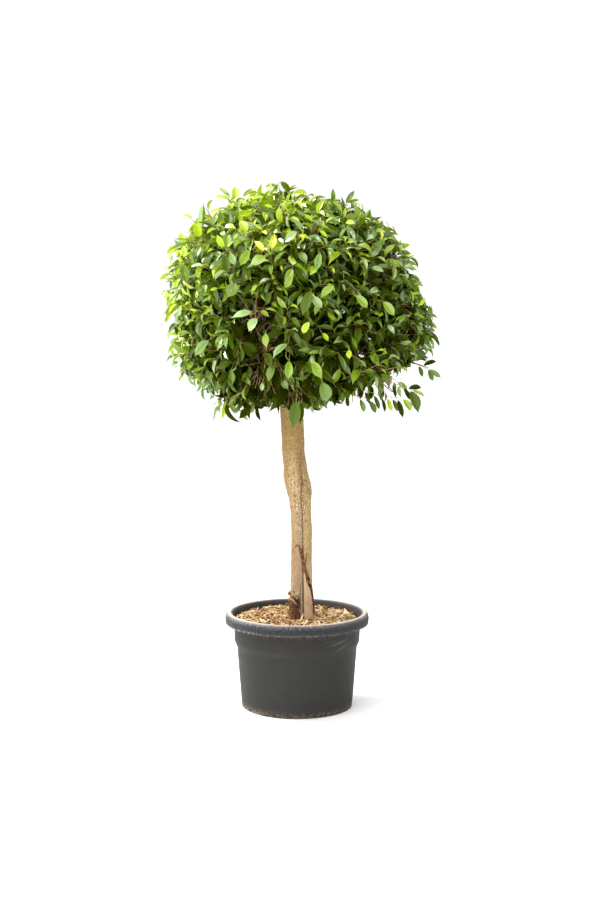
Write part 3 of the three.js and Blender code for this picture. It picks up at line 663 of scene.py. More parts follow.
# The same at the outline, with the root's y too.
EDGE_LEAVES = [
    (-0.101, -0.05, 1.962, 60, 0.074, 0.26, "fresh"),
    (-0.062, -0.05, 2.026, -42, 0.060, 0.50, "fresh"),
    (-0.101, -0.08, 1.962, 106, 0.044, 0.50, "lime"),
    (-0.014, -0.08, 1.980, 14, 0.068, 0.42, "yellow"),
    (-0.046, -0.10, 1.985, -62, 0.056, 0.56, "dark"),
    (-0.250, -0.10, 1.968, 132, 0.062, 0.28, "bright"),
    (-0.252, -0.10, 1.960, 160, 0.066, 0.28, "lime"),
    (-0.227, -0.12, 1.958, 86, 0.056, 0.56, "lime"),
    (-0.200, -0.10, 1.968, 40, 0.050, 0.36, "bright"),
    (-0.386, -0.10, 1.803, 166, 0.080, 0.20, "bright"),
    (-0.386, -0.10, 1.798, 195, 0.112, 0.18, "fresh"),
    (-0.390, -0.08, 1.790, 184, 0.070, 0.22, "painted_sheen"),
    (-0.425, -0.10, 1.752, 150, 0.046, 0.60, "lime"),
    (-0.450, -0.10, 1.600, 225, 0.076, 0.36, "lime"),
    (-0.455, -0.10, 1.575, 235, 0.080, 0.32, "bright"),
    (-0.470, -0.12, 1.540, 240, 0.062, 0.36, "lime"),
    (0.185, -0.08, 1.945, 66, 0.064, 0.34, "fresh"),
    (0.187, -0.08, 1.942, 30, 0.062, 0.32, "bright"),
    (0.140, -0.10, 1.955, 100, 0.050, 0.40, "fresh"),
    (0.372, -0.12, 1.752, 12, 0.066, 0.46, "fresh"),
    (0.364, -0.10, 1.772, 40, 0.056, 0.36, "bright"),
    (0.480, -0.10, 1.532, -16, 0.060, 0.36, "fresh"),
]
# Leaves on the open twigs: which twig, share along it, the way each points, length, breadth and tone.
HANGING_LEAVES = [
    (0, 0.42, -72, 0.062, 0.38, "dark"),
    (0, 0.56, -75, 0.064, 0.38, "mid"),
    (0, 0.68, -84, 0.066, 0.34, "dark"),
    (0, 0.76, -72, 0.064, 0.38, "lime"),
    (0, 0.84, -70, 0.062, 0.34, "mid"),
    (0, 0.92, -80, 0.078, 0.42, "dark"),
    (0, 1.00, -58, 0.064, 0.52, "lime"),
    (1, 0.25, -90, 0.062, 0.40, "mid"),
    (1, 0.46, -97, 0.064, 0.56, "fresh"),
    (1, 0.66, -83, 0.055, 0.38, "dark"),
    (1, 0.84, -57, 0.064, 0.42, "dark"),
    (1, 0.92, 12, 0.055, 0.50, "dark"),
    (1, 0.98, -78, 0.098, 0.48, "mid"),
    (1, 1.00, -28, 0.064, 0.36, "lime"),
    (2, 0.80, -80, 0.050, 0.40, "mid"),
    (2, 0.88, 30, 0.059, 0.50, "dark"),
    (2, 1.00, -66, 0.059, 0.34, "mid"),
    (2, 1.00, -28, 0.071, 0.30, "fresh"),
    (3, 0.50, -85, 0.059, 0.40, "dark"),
    (3, 0.80, -75, 0.062, 0.42, "fresh"),
    (3, 1.00, -62, 0.062, 0.40, "mid"),
]
# Twigs of the placed leaves: start and front as shares of the radius, bend, and the way the faces turn.
PLACED = {
    "start": 0.66,
    "front": 0.985,
    "bend_share": 0.6,
    "bend_lift": 0.012,
    "outward": 0.25,
    "faces": (0.0, -1.0, 0.35),
}
# Depths that are tried for a leaf at the crown's front.
FRONT_DEPTHS = np.linspace(-0.52, 0, 261)
# Twigs as meshes: rings, radii at both ends and sides of each kind.
TWIGS = {
    "shoots": {"steps": 10, "radii": (0.0052, 0.0017), "sides": 6},
    "sprays": {"steps": 7, "radii": (0.0021, 0.0010), "sides": 4},
    "placed": {"steps": 7, "radii": (0.0019, 0.0009), "sides": 4},
}
# How far twigs jog aside, and how their thickness varies.
TWIG_JOG = 0.0016
TWIG_THICKNESS = (0.85, 1.15)
# Points by which a curve's length is measured.
LENGTH_STEPS = 9

# The sky: white up to the horizon's band, then brighter the nearer to its bright side.
SKY = {
    "horizon": (0.20, 0.36),
    "horizon_strength": 1.05,
    "bright_side": (-0.45, 0.60, 0.70),
    "span": (-0.35, 0.90),
    "strengths": (0.28, 1.95),
}

# Camera in metres, degrees and millimetres.
CAMERA = {"x": 0.01177, "distance": 6.0, "height": 1.62, "pitch": 5.85, "lens": 62.4, "sensor": 36}
# Soft lights: place and size in metres, power in watts.
LIGHTS = [
    {"name": "softbox", "place": (-1.5, -2.6, 3.8), "size": 3.2, "power": 98},
    {"name": "key", "place": (-2.9, 1.3, 3.9), "size": 2.0, "power": 260},
]
FLOOR_REACH = 60.0

MASSES = ["foliage_" + bough[0] for bough in BOUGHS]


# Vectors and curves.
def unit(vectors):
    return vectors / np.linalg.norm(vectors, axis=-1, keepdims=True)


def mix(low, high, share):
    return low + (high - low) * share


def smoothstep(values, low, high):
    share = np.clip((values - low) / (high - low), 0, 1)
    return share * share * (3 - 2 * share)


def fade(values, low, high):
    """1 up to low, and 0 from high on."""
    return 1 - smoothstep(values, low, high)


def bell(off, spread, power=2):
    """1 where nothing is off, falling to 0 past the spread."""
    return np.exp(-((off / spread) ** power))


def direction_of(azimuth, elevation):
    turn = math.radians(azimuth)
    tilt = math.radians(elevation)
    return np.array([math.cos(tilt) * math.cos(turn), math.cos(tilt) * math.sin(turn), math.sin(tilt)])


def spoke(bearings):
    """Level directions at bearings."""
    return np.stack([np.cos(bearings), np.sin(bearings), bearings * 0], -1)


def around(count):
    """Bearings dealt evenly over a full turn."""
    return np.arange(count) / count * 2 * math.pi


def off_bearing(bearings, bearing):
    """Degrees from a bearing, from -180 to 180."""
    return (np.degrees(bearings) - bearing + 180) % 360 - 180


def beside(bearings, mark):
    """1 at a mark's bearing, falling to 0 past its spread."""
    return bell(off_bearing(bearings, mark["bearing"]), mark["spread"])


def square_to(ways):
    """A direction square to each way, and level unless the way is nearly upright."""
    upright = np.abs(ways[..., 2:]) > NEARLY_UPRIGHT
    return np.cross(ways, np.where(upright, [1.0, 0.0, 0.0], UP))


def squared(vectors, ways):
    """Unit vectors of what is left when the part along the ways is taken out."""
    return unit(vectors - ways * np.sum(vectors * ways, -1, keepdims=True))


def turned(first, second, angle):
    """The first way turned by an angle towards the second, which is square to it."""
    return first * np.cos(angle) + second * np.sin(angle)


def bezier(start, bend, end, share):
    share = np.asarray(share)[..., None]
    return (1 - share) ** 2 * start + 2 * share * (1 - share) * bend + share**2 * end


def bezier_way(start, bend, end, share):
    share = np.asarray(share)[..., None]
    return unit((1 - share) * (bend - start) + share * (end - bend))


def stops_of(curves):
    return curves["start"], curves["bend"], curves["end"]


def curve_points(curves, share):
    """Points at shares along many curves: curve by share."""
    return bezier(*(stop[:, None] for stop in stops_of(curves)), share)


def joined(parts):
    return {key: np.concatenate([part[key] for part in parts]) for key in parts[0]}


def chosen(rows, keep):
    return {key: values[keep] for key, values in rows.items()}


def angle_between(ways, others):
    return np.arccos(np.clip(ways @ others.T, -1, 1))


def nearness(ways, azimuth, elevation, spread, power=2):
    """How near ways lie to a direction, from 1 at it to 0 past its spread in degrees."""
    off = np.degrees(angle_between(ways, direction_of(azimuth, elevation)[None]))[:, 0]
    return bell(off, spread, power)


def golden_directions(count):
    """Directions dealt evenly over a ball by the golden angle."""
    index = np.arange(count)
    height = 1 - 2 * (index + 0.5) / count
    level = np.sqrt(1 - height**2)
    turn = index * GOLDEN_ANGLE
    return np.stack([level * np.cos(turn), level * np.sin(turn), height], -1)


def rough(points, scale, octaves):
    """Fractal noise at points, about -1 to 1."""
    grain = (NOISE_DECAY, NOISE_STEP, octaves)
    return np.array([noise.fractal(Vector(point * scale), *grain) for point in points])


# Crown.
def crown_radius(ways):
    """How far the clipped crown reaches each way from its centre."""
    height = ways[..., 2]
    roundness = np.where(height > 0, CROWN["upper_roundness"], CROWN["lower_roundness"])
    extent = np.where(height > 0, CROWN["rise"], CROWN["drop"])
    across = np.hypot(ways[..., 0] / CROWN["half_width"], ways[..., 1] / CROWN["half_depth"])
    return (across**roundness + np.abs(height / extent) ** roundness) ** (-1 / roundness)


def crown_point(ways, share):
    """Points at a share of the crown's radius, leant over as the crown is."""
    inner = ways * np.asarray(crown_radius(ways) * share)[..., None]
    skew = CROWN["skew"]
    x = inner[..., 0] - skew * inner[..., 2]
    z = inner[..., 2] - skew * inner[..., 0]
    return np.stack([x, inner[..., 1], z], -1) + CROWN["centre"]


def crown_inner(points):
    """Points in the crown's own, unskewed space."""
    x, y, z = np.moveaxis(points - CROWN["centre"], -1, 0)
    skew = CROWN["skew"]
    scale = 1 / (1 - skew * skew)
    return np.stack([(x + skew * z) * scale, y, (z + skew * x) * scale], -1)


def crown_share(points):
    """The share of the crown's radius that points lie at."""
    inner = crown_inner(points)
    return np.linalg.norm(inner, axis=-1) / crown_radius(unit(inner))


def over_crown(ways, clusters, places):
    """Values that differ over the crown: clusters of noise, raised or lowered at places."""
    values = clusters["amount"] * rough(ways + clusters["shift"], clusters["scale"], 2)
    for azimuth, elevation, spread, amount in places:
        values += amount * nearness(ways, azimuth, elevation, spread)
    return values


def underside(points):
    """The height that leaves of the clipped crown stay above."""
    return UNDERSIDE["height"] + UNDERSIDE["rise"] * np.maximum(points[..., 0] - UNDERSIDE["from"], 0)


def above_underside(ways, reach):
    """Reach drawn in till the twigs end clear of the underside, where that rises to the right."""
    for _ in range(UNDERSIDE["steps"]):
        end = crown_point(ways, reach)
        low = (ways[:, 0] > 0) & (end[:, 2] < underside(end) + UNDERSIDE["clearance"])
        reach = np.where(low, reach - UNDERSIDE["step"], reach)
    return reach


HEADINGS = np.array([direction_of(azimuth, elevation) for _, azimuth, elevation, *_ in BOUGHS])


# Meshes.
class Pile:
    """Points, faces and point values gathered for one joined mesh."""

    def __init__(self):
        self.points = []
        self.faces = []
        self.marks = {}
        self.count = 0

    def add(self, points, faces, **marks):
        points = np.asarray(points, float).reshape(-1, 3)
        self.points.append(points)
        for group in faces:
            group = np.asarray(group)
            self.faces.append(group.reshape(-1, group.shape[-1]) + self.count)
        for name, values in marks.items():
            self.marks.setdefault(name, []).append(np.broadcast_to(np.ravel(values), len(points)))
        self.count += len(points)
        return self

    def add_copies(self, points, faces):
        """Adds many shapes of one pattern: points is shape by corner, and the faces are the first one's."""
        offsets = np.arange(len(points))[:, None, None] * points.shape[1]
        return self.add(points, [group + offsets for group in faces])

    def add_limb(self, path, radii):
        """Adds one limb, whose radii are ring by corner."""
        return self.add(*tubes(path[None], radii[None], radii.shape[1]))

    def mesh(self, name):
        mesh = bpy.data.meshes.new(name)
        points = np.concatenate(self.points)
        corners = np.concatenate([group.ravel() for group in self.faces])
        sizes = np.concatenate([np.full(len(group), group.shape[1]) for group in self.faces])
        mesh.vertices.add(len(points))
        mesh.vertices.foreach_set("co", points.astype(np.float32).ravel())
        mesh.loops.add(len(corners))
        mesh.loops.foreach_set("vertex_index", corners.astype(np.int32))
        mesh.polygons.add(len(sizes))
        mesh.polygons.foreach_set("loop_start", (np.cumsum(sizes) - sizes).astype(np.int32))
        for mark, values in self.marks.items():
            attribute = mesh.attributes.new(mark, "FLOAT", "POINT")
            attribute.data.foreach_set("value", np.concatenate(values).astype(np.float32))
        mesh.update(calc_edges=True)
        mesh.shade_smooth()
        return mesh


def in_scene(name, data):
    """A new object of the scene."""
    made = bpy.data.objects.new(name, data)
    bpy.context.scene.collection.objects.link(made)
    return made


def piece(name, shape, material, stands_for):
    """A piece of the tree, from a pile or a mesh, in place of the nodes that it stands for."""
    mesh = shape.mesh(name) if isinstance(shape, Pile) else shape
    mesh.materials.append(material)
    made = in_scene(name, mesh)
    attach(made, "root")
    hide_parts(*stands_for)


def grid_faces(rows, columns):
    """Quads of a grid whose rows follow each other, closed round its columns."""
    row, column = np.meshgrid(np.arange(rows - 1), np.arange(columns), indexing="ij")
    here = row * columns + column
    after = row * columns + (column + 1) % columns
    return np.stack([here, after, after + columns, here + columns], -1).reshape(-1, 4)


def end_faces(rings, sides):
    """The faces that close a tube at its foot and its tip."""
    corners = np.arange(sides)
    return np.stack([corners[::-1], corners + (rings - 1) * sides])


def tubes(paths, radii, sides):
    """Many limbs at once: paths is limb by ring, and each ring lies square to its limb."""
    count, steps = paths.shape[:2]
    radii = np.broadcast_to(radii.reshape(len(radii), steps, -1), (count, steps, sides))
    ways = unit(np.gradient(paths, axis=1))
    across = square_to(ways[:, 0])
    turn = around(sides)[:, None]
    rings = []
    for step in range(steps):
        way = ways[:, step]
        across = squared(across, way)
        spokes = turned(across[:, None], np.cross(way, across)[:, None], turn)
        rings.append(paths[:, step, None] + spokes * radii[:, step, :, None])
    points = np.stack(rings, 1)
    walls = grid_faces(steps, sides)
    offsets = np.arange(count)[:, None, None] * steps * sides
    ends = np.arange(sides) + (steps - 1) * sides
    return points, [walls + offsets, ends + offsets[:, 0]]


# Materials.
# Turns the noise off the axes, so that it shows no level lines.
NOISE_TURN = (0.5, 0.4, 0.3)


def colour(red, green, blue):
    """Linear colour, with alpha, of an sRGB colour from 0 to 255."""
    shares = np.array([red, green, blue]) / 255
    linear = np.where(shares <= 0.04045, shares / 12.92, ((shares + 0.055) / 1.055) ** 2.4)
    return (*linear.tolist(), 1.0)


def map_range(tree, value, span=(0, 1), results=(0, 1), shape="LINEAR"):
    """A value carried over from a span of numbers to the span of its results."""
    mapped = tree.nodes.new("ShaderNodeMapRange")
    mapped.interpolation_type = shape
    for socket, number in zip(("From Min", "From Max", "To Min", "To Max"), (*span, *results)):
        mapped.inputs[socket].default_value = number
    tree.links.new(value, mapped.inputs["Value"])
    return mapped.outputs["Result"]


class Paint:
    """A material whose base colour is built up by layers of procedural nodes."""

    def __init__(self, name, base, roughness, specular):
        self.material = bpy.data.materials.new(name)
        self.material.use_nodes = True
        self.tree = self.material.node_tree
        self.shader = self.tree.nodes["Principled BSDF"]
        self.shader.inputs["Base Color"].default_value = colour(*base)
        self.shader.inputs["Roughness"].default_value = roughness
        self.shader.inputs["Specular IOR Level"].default_value = specular

    def node(self, kind, **settings):
        made = self.tree.nodes.new(kind)
        for key, value in settings.items():
            setattr(made, key, value)
        return made

    def link(self, source, target):
        self.tree.links.new(source, target)

    def noise(self, scale, detail, stretch=1.0):
        """Noise of a scale and a detail, drawn out upwards where the stretch is under 1."""
        mapping = self.node("ShaderNodeMapping")
        mapping.inputs["Scale"].default_value = (1.0, 1.0, stretch)
        mapping.inputs["Rotation"].default_value = NOISE_TURN
        self.link(self.node("ShaderNodeTexCoord").outputs["Object"], mapping.inputs["Vector"])
        texture = self.node("ShaderNodeTexNoise")
        texture.inputs["Scale"].default_value = scale
        texture.inputs["Detail"].default_value = detail
        self.link(mapping.outputs["Vector"], texture.inputs["Vector"])
        return texture.outputs["Fac"]

    def patches(self, scale, detail, low, high, stretch=1.0):
        """Noise sharpened to patches, which are 0 up to low and 1 from high on."""
        return map_range(self.tree, self.noise(scale, detail, stretch), (low, high), shape="SMOOTHSTEP")

    def times(self, share, other):
        """The product of a share with another one: a socket, the name of a mark or a number."""
        product = self.node("ShaderNodeMath", operation="MULTIPLY")
        self.link(share, product.inputs[0])
        if isinstance(other, float):
            product.inputs[1].default_value = other
        else:
            self.link(self.share(other), product.inputs[1])
        return product.outputs["Value"]

    def share(self, share):
        """The socket of a share, which may be the name of a mark on the mesh."""
        if isinstance(share, str):
            return self.node("ShaderNodeAttribute", attribute_name=share).outputs["Fac"]
        return share

    def layer(self, tint, first, *others):
        """Lays a colour over what is there, by the product of shares from 0 to 1."""
        share = self.share(first)
        for other in others:
            share = self.times(share, other)
        blend = self.node("ShaderNodeMix", data_type="RGBA")
        # The sockets of a mix node share their names, so those for colours are taken by number.
        below, above = blend.inputs[6], blend.inputs[7]
        base = self.shader.inputs["Base Color"]
        if base.is_linked:
            self.link(base.links[0].from_socket, below)
        else:
            below.default_value = base.default_value
        above.default_value = colour(*tint)
        self.link(share, blend.inputs["Factor"])
        self.link(blend.outputs[2], base)

    def bump(self, height, strength, distance):
        bump = self.node("ShaderNodeBump")
        bump.inputs["Strength"].default_value = strength
        bump.inputs["Distance"].default_value = distance
        self.link(height, bump.inputs["Height"])
        self.link(bump.outputs["Normal"], self.shader.inputs["Normal"])

    def roughen(self, share, low, high):
        self.link(map_range(self.tree, share, results=(low, high)), self.shader.inputs["Roughness"])


def pot_plastic():
    paint = Paint("pot_plastic", (47, 46, 44), 0.66, 0.2)
    paint.layer((52, 51, 48), paint.patches(14, 5, 0.45, 0.75), 0.5)
    paint.layer((38, 41, 47), "rim", 0.9)
    paint.layer((40, 38, 36), "inside", 0.9)
    # Pale specks of wear, denser towards the top of the rim's face as a painted highlight.
    paint.layer((168, 166, 162), "face_wear_and_highlight", paint.patches(260, 5, 0.48, 0.64, 1.6))
    paint.layer((200, 190, 178), "wear", paint.patches(150, 6, 0.44, 0.60))
    # The crest's pale line is wear and a painted highlight.
    paint.layer((222, 208, 190), "crest")
    # A painted highlight, tinted by dirt, along the creases' lower edges.
    paint.layer((112, 107, 97), "crease")
    paint.layer((122, 104, 80), "dirt", paint.patches(110, 5, 0.40, 0.62), 0.6)
    paint.bump(paint.noise(420, 2), 0.12, 0.0006)
    paint.roughen(paint.noise(30, 3), 0.58, 0.74)
    return paint.material


def soil_mix():
    paint = Paint("potting_soil", (58, 42, 30), 0.95, 0.2)
    paint.layer((98, 76, 55), paint.patches(160, 5, 0.52, 0.72))
    paint.bump(paint.noise(220, 6), 0.9, 0.004)
    return paint.material


def wood_chip(name, base, pale, dark):
    paint = Paint(name, base, 0.85, 0.25)
    paint.layer(pale, paint.patches(60, 3, 0.48, 0.68))
    paint.layer(dark, paint.patches(190, 4, 0.52, 0.72, 0.5), 0.75)
    paint.bump(paint.noise(500, 3), 0.5, 0.0012)
    return paint.material


def trunk_bark():
    paint = Paint("trunk_bark", (174, 148, 98), 0.85, 0.25)
    # Painted shade: the top of the stem under the crown, darker and olive.
    paint.layer((146, 115, 64), "olive_crown_shade", 0.85)
    paint.layer((158, 132, 104), "lobe", 0.9)
    paint.layer((208, 175, 143), "root", 0.9)
    paint.layer((146, 102, 66), "band", 0.85)
    paint.layer((136, 108, 60), "rough", paint.patches(58, 5, 0.46, 0.64, 0.4), 0.8)
    paint.layer((220, 200, 166), "pale", paint.patches(210, 4, 0.46, 0.60, 0.7), 0.85)
    paint.layer((192, 172, 100), "olive_crown_shade", paint.patches(260, 3, 0.50, 0.62), 0.9)
    paint.layer((84, 60, 32), "rough", paint.patches(230, 5, 0.53, 0.63, 0.8), 0.85)
    paint.layer((216, 186, 130), "streak", paint.patches(170, 4, 0.40, 0.60, 0.22), 0.45)
    # Painted shade down the left side of the stem.
    paint.layer((136, 108, 68), "left_shade", 0.66)
    paint.layer((150, 118, 84), paint.patches(330, 3, 0.56, 0.66, 0.12), 0.55)
    # Painted shade by the dead root, at the foot's right edge and under the stringy bark; dark ground and
    # knots.
    paint.layer((70, 44, 26), "stain_and_shade")
    paint.layer((186, 178, 172), "lichen", paint.patches(260, 3, 0.45, 0.58))
    paint.layer((98, 64, 38), "seam", paint.patches(90, 3, 0.30, 0.52, 0.6))
    paint.bump(paint.noise(300, 4, 0.5), 0.8, 0.0030)
    return paint.material


def bough_bark():
    paint = Paint("bough_bark", (212, 164, 132), 0.85, 0.3)
    paint.layer((168, 122, 92), paint.patches(40, 5, 0.45, 0.70))
    paint.layer((212, 178, 144), paint.patches(120, 4, 0.55, 0.72), 0.7)
    paint.bump(paint.noise(260, 4), 0.5, 0.0015)
    return paint.material


def twig_bark(name, base, other):
    paint = Paint(name, base, 0.8, 0.3)
    paint.layer(other, paint.patches(70, 4, 0.42, 0.66))
    return paint.material


def dead_bark():
    paint = Paint("dead_bark", (110, 74, 48), 0.9, 0.2)
    paint.layer((166, 128, 98), paint.patches(190, 4, 0.50, 0.64, 0.4), 0.85)
    paint.layer((36, 22, 13), paint.patches(130, 4, 0.50, 0.62, 0.6), 0.9)
    paint.bump(paint.noise(420, 4, 0.4), 0.7, 0.0016)
    return paint.material


def leaf_skin(name, tint, roughness, specular, gloss):
    """A plain base colour, as its place matters, under a gloss like wax."""
    paint = Paint(name, tint, roughness, specular)
    paint.shader.inputs["Coat Weight"].default_value = gloss
    paint.shader.inputs["Coat Roughness"].default_value = LEAF["coat_roughness"]
    return paint.material


# Pot.
def steps_between(low, high, steps):
    """Points from low towards high, without high."""
    share = np.arange(steps)[:, None] / steps
    return mix(np.array(low), np.array(high), share)


def pot_middle_line():
    foot = (POT["foot"] - POT["wall"] / 2, POT["floor"] / 2)
    corners = [foot, POT["shoulder"], POT["collar"], POT["neck"]]
    parts = [steps_between(*step) for step in zip(corners, corners[1:], POT["wall_rings"])]
    share = np.arange(POT["rim_rings"]) / POT["rim_rings"]
    neck, crest, lip = (np.array(POT[corner]) for corner in ("neck", "crest", "lip"))
    neck_bend = np.array([neck[0] + POT["rim_bend"], crest[1]])
    lip_bend = np.array([lip[0] - POT["rim_bend"], crest[1]])
    parts.append(bezier(neck, neck_bend, crest, share))
    parts.append(bezier(crest, lip_bend, lip, share))
    parts.append(steps_between(lip, POT["lip_foot"], POT["lip_rings"]))
    parts.append(np.array([POT["lip_foot"]]))
    return np.concatenate(parts)


def pot_profile():
    """Radius and height from the underside's middle, up outside, over the rim, to the floor's middle."""
    middle = pot_middle_line()
    way = unit(np.gradient(middle, axis=0))
    square = np.stack([way[:, 1], -way[:, 0]], -1) * POT["wall"] / 2
    outside = middle + square
    inside = (middle - square)[::-1]
    turn = np.linspace(-math.pi / 2, 0, POT["foot_rings"] + 1)[:-1, None]
    radius = POT["foot_round"]
    corner = np.array([POT["foot"] - radius, radius])
    rounding = corner + radius * np.concatenate([np.cos(turn), np.sin(turn)], -1)
    outer_foot = outside[outside[:, 1] > radius]
    inner_wall = inside[inside[:, 1] > POT["floor"]]
    under = steps_between((0.0, 0.0), (POT["foot"] - radius, 0.0), POT["floor_rings"])
    inner_foot = (POT["foot"] - POT["wall"], POT["floor"])
    centre = (0.0, POT["floor"])
    floor = steps_between(inner_foot, centre, POT["floor_rings"])
    return np.concatenate([under, rounding, outer_foot, inner_wall, floor, [centre]])


def crease_shares(bearings, heights):
    """Each crease's depth, how near places are to it, less so at its ends, and how far above it."""
    round_wall = POT["collar"][0]
    for crease in POT_CREASES:
        (first, low), (second, high) = crease["ends"]
        span = np.array([math.radians(second - first) * round_wall, high - low])
        across = np.stack([(bearings - math.radians(first)) * round_wall, heights - low], -1)
        share = np.clip(across @ span / (span @ span), 0, 1)
        off = across - share[..., None] * span
        fading = np.sin(math.pi * np.clip(share, *CREASE_ENDS))
        near = fading * bell(np.linalg.norm(off, axis=-1), crease["width"])
        yield crease["depth"], near, off[..., 1] / crease["width"]


def crease_depth(bearings, heights):
    return sum(depth * near for depth, near, _ in crease_shares(bearings, heights))


def crease_highlight_edge(bearings, heights):
    """The painted highlight, tinted by dirt, along the lower edge of the deeper creases."""
    deep = POT_CREASES[0]["depth"]
    shares = crease_shares(bearings, heights)
    span = WEAR_AND_HIGHLIGHTS["crease_highlight_edge"]
    return sum(WEAR_AND_HIGHLIGHTS["crease"] * depth / deep * near * fade(above, *span) for depth, near, above in shares)


def pot_span(values, name):
    return smoothstep(values, *POT_SPANS[name])


def pot_marks(turn, radius, height, inward):
    """Where the pot is rim, inside, worn, creased or dirty, or painted with highlights, each from 0 to 1."""
    rim = pot_span(height, "rim_height") * pot_span(radius, "rim_radius")
    crest = bell(radius - POT["crest"][0], WEAR_AND_HIGHLIGHTS["crest_width"]) * pot_span(height, "crest_height")
    # The painted highlight on the crest is stronger at the sides than at the front.
    side_on = mix(WEAR_AND_HIGHLIGHTS["crest_front"], 1, np.abs(np.cos(turn)))
    # The top of the rim's outer face is painted lighter, as a painted highlight.
    face = pot_span(height, "face_height") * pot_span(radius, "face_radius")
    facing = np.cos(turn - math.radians(WEAR_AND_HIGHLIGHTS["worn_side"]))
    worn_side = mix(WEAR_AND_HIGHLIGHTS["far_side"], 1, smoothstep(facing, *WEAR_AND_HIGHLIGHTS["worn_span"]))
    lip_edge = pot_span(radius, "lip_radius") * bell(height - WEAR_AND_HIGHLIGHTS["lip_height"], WEAR_AND_HIGHLIGHTS["lip_width"])
    foot = bell(height, WEAR_AND_HIGHLIGHTS["foot_width"]) * pot_span(radius, "foot_radius")
    foot_scuff = foot * beside(turn, WEAR_AND_HIGHLIGHTS["scuff"])
    foot_dirt = WEAR_AND_HIGHLIGHTS["foot_dirt"] * (1 - pot_span(height, "foot_dirt_height")) + foot
    under_rim = WEAR_AND_HIGHLIGHTS["under_rim_dirt"] * pot_span(height, "under_rim_height") * (1 - rim)
    marks = {
        "rim": rim,
        "inside": inward * (1 - pot_span(radius, "inside_radius")),
        "crest": WEAR_AND_HIGHLIGHTS["crest"] * crest * side_on,
        "face_wear_and_highlight": WEAR_AND_HIGHLIGHTS["face"] * face + rim * (WEAR_AND_HIGHLIGHTS["rim"][0] + WEAR_AND_HIGHLIGHTS["rim"][1] * worn_side),
        "wear": lip_edge * worn_side + foot_scuff,
        "crease": crease_highlight_edge(turn, height) * (1 - inward),
        "dirt": foot_dirt * pot_span(radius, "dirt_radius") + under_rim,
    }
    return {name: np.clip(values, 0, 1) for name, values in marks.items()}


def pot_mesh():
    profile = pot_profile()
    turn, radius = np.meshgrid(around(POT["sides"]) - math.pi, profile[:, 0])
    height = np.broadcast_to(profile[:, 1:], radius.shape)
    inward = (np.arange(len(profile)) > np.argmax(profile[:, 1]))[:, None] + 0.0 * radius
    wall = pot_span(height, "wall_height") * pot_span(radius, "wall_radius")
    sway = sum(size * np.cos(waves * turn + start) for waves, size, start in POT_WAVES)
    creases = crease_depth(turn, height) * (radius < POT["neck"][0] + POT["wall"])
    points = spoke(turn) * (radius + wall * sway - creases)[..., None] + height[..., None] * UP
    faces = grid_faces(*radius.shape)
    pile = Pile().add(points, [faces[:, ::-1]], **pot_marks(turn, radius, height, inward))
    return with_drain_holes(pile.mesh("pot_shell"))


def with_drain_holes(mesh):
    """The pot's mesh with its drainage holes cut out of the floor."""
    middle = spoke(around(POT["drain_holes"])) * POT["drain_circle_radius"]
    reach = 2 * POT["floor"] * UP
    paths = np.stack([middle - reach, middle + reach], 1)
    sides = POT["drain_hole_sides"]
    points, faces = tubes(paths, np.full(paths.shape[:2], POT["drain_hole_radius"]), sides)
    starts = np.arange(sides)[::-1] + np.arange(len(paths))[:, None] * 2 * sides
    cutter = in_scene("drain_cutter", Pile().add(points, [*faces, starts]).mesh("drain_cutter"))
    whole = in_scene("pot_whole", mesh)
    bore = whole.modifiers.new("drain", "BOOLEAN")
    bore.object = cutter
    bore.operation = "DIFFERENCE"
    bore.solver = "EXACT"
    shape = whole.evaluated_get(bpy.context.evaluated_depsgraph_get())
    bored = bpy.data.meshes.new_from_object(shape)
    bpy.data.objects.remove(whole)
    bpy.data.objects.remove(cutter)
    return bored


# Mulch.
def mulch_height(points):
    """Height of the bed of chips, dished towards the wall and heaped at the stem."""
    flat = points * [1, 1, 0]
    outward = np.linalg.norm(flat, axis=-1) / MULCH["radius"]
    level = MULCH["top"] + MULCH["dish"] * outward**2
    from_stem = np.linalg.norm(points[:, :2] - STEM[0, 1:3], axis=-1)
    heap = MULCH["heap"] * bell(from_stem, MULCH["heap_spread"])
    return level + heap + MULCH["waves"] * rough(flat, MULCH["wave_scale"], 2) - MULCH["settled"]


def mulch_bed():
    rings, sides = MULCH["rings"], MULCH["sides"]
    rows = np.linspace(MULCH["middle_ring"], MULCH["radius"], rings)
    radius, turn = np.meshgrid(rows, around(sides), indexing="ij")
    flat = (spoke(turn) * radius[..., None]).reshape(-1, 3)
    grain = MULCH["grain"] * rough(flat, MULCH["grain_scale"], 2)
    height = mulch_height(flat) + grain - MULCH["settled"]
    height[-sides:] = MULCH["foot"]
    return Pile().add(flat + height[:, None] * UP, [grid_faces(rings, sides), end_faces(rings, sides)[:1]])


def chip_pattern():
    """A torn splinter of unit size: four rings of four corners, narrow and ragged at both ends."""
    along = np.array([-0.5, -0.28, 0.22, 0.5])
    breadth = np.array([0.35, 1.0, 0.9, 0.25])
    depth = np.array([0.3, 1.0, 0.85, 0.3])
    corner = np.array([[-0.5, -0.5], [0.5, -0.5], [0.5, 0.5], [-0.5, 0.5]])
    points = [[(a, b * y, d * z) for y, z in corner] for a, b, d in zip(along, breadth, depth)]
    return np.array(points).reshape(-1, 3), np.concatenate([grid_faces(4, 4), end_faces(4, 4)])


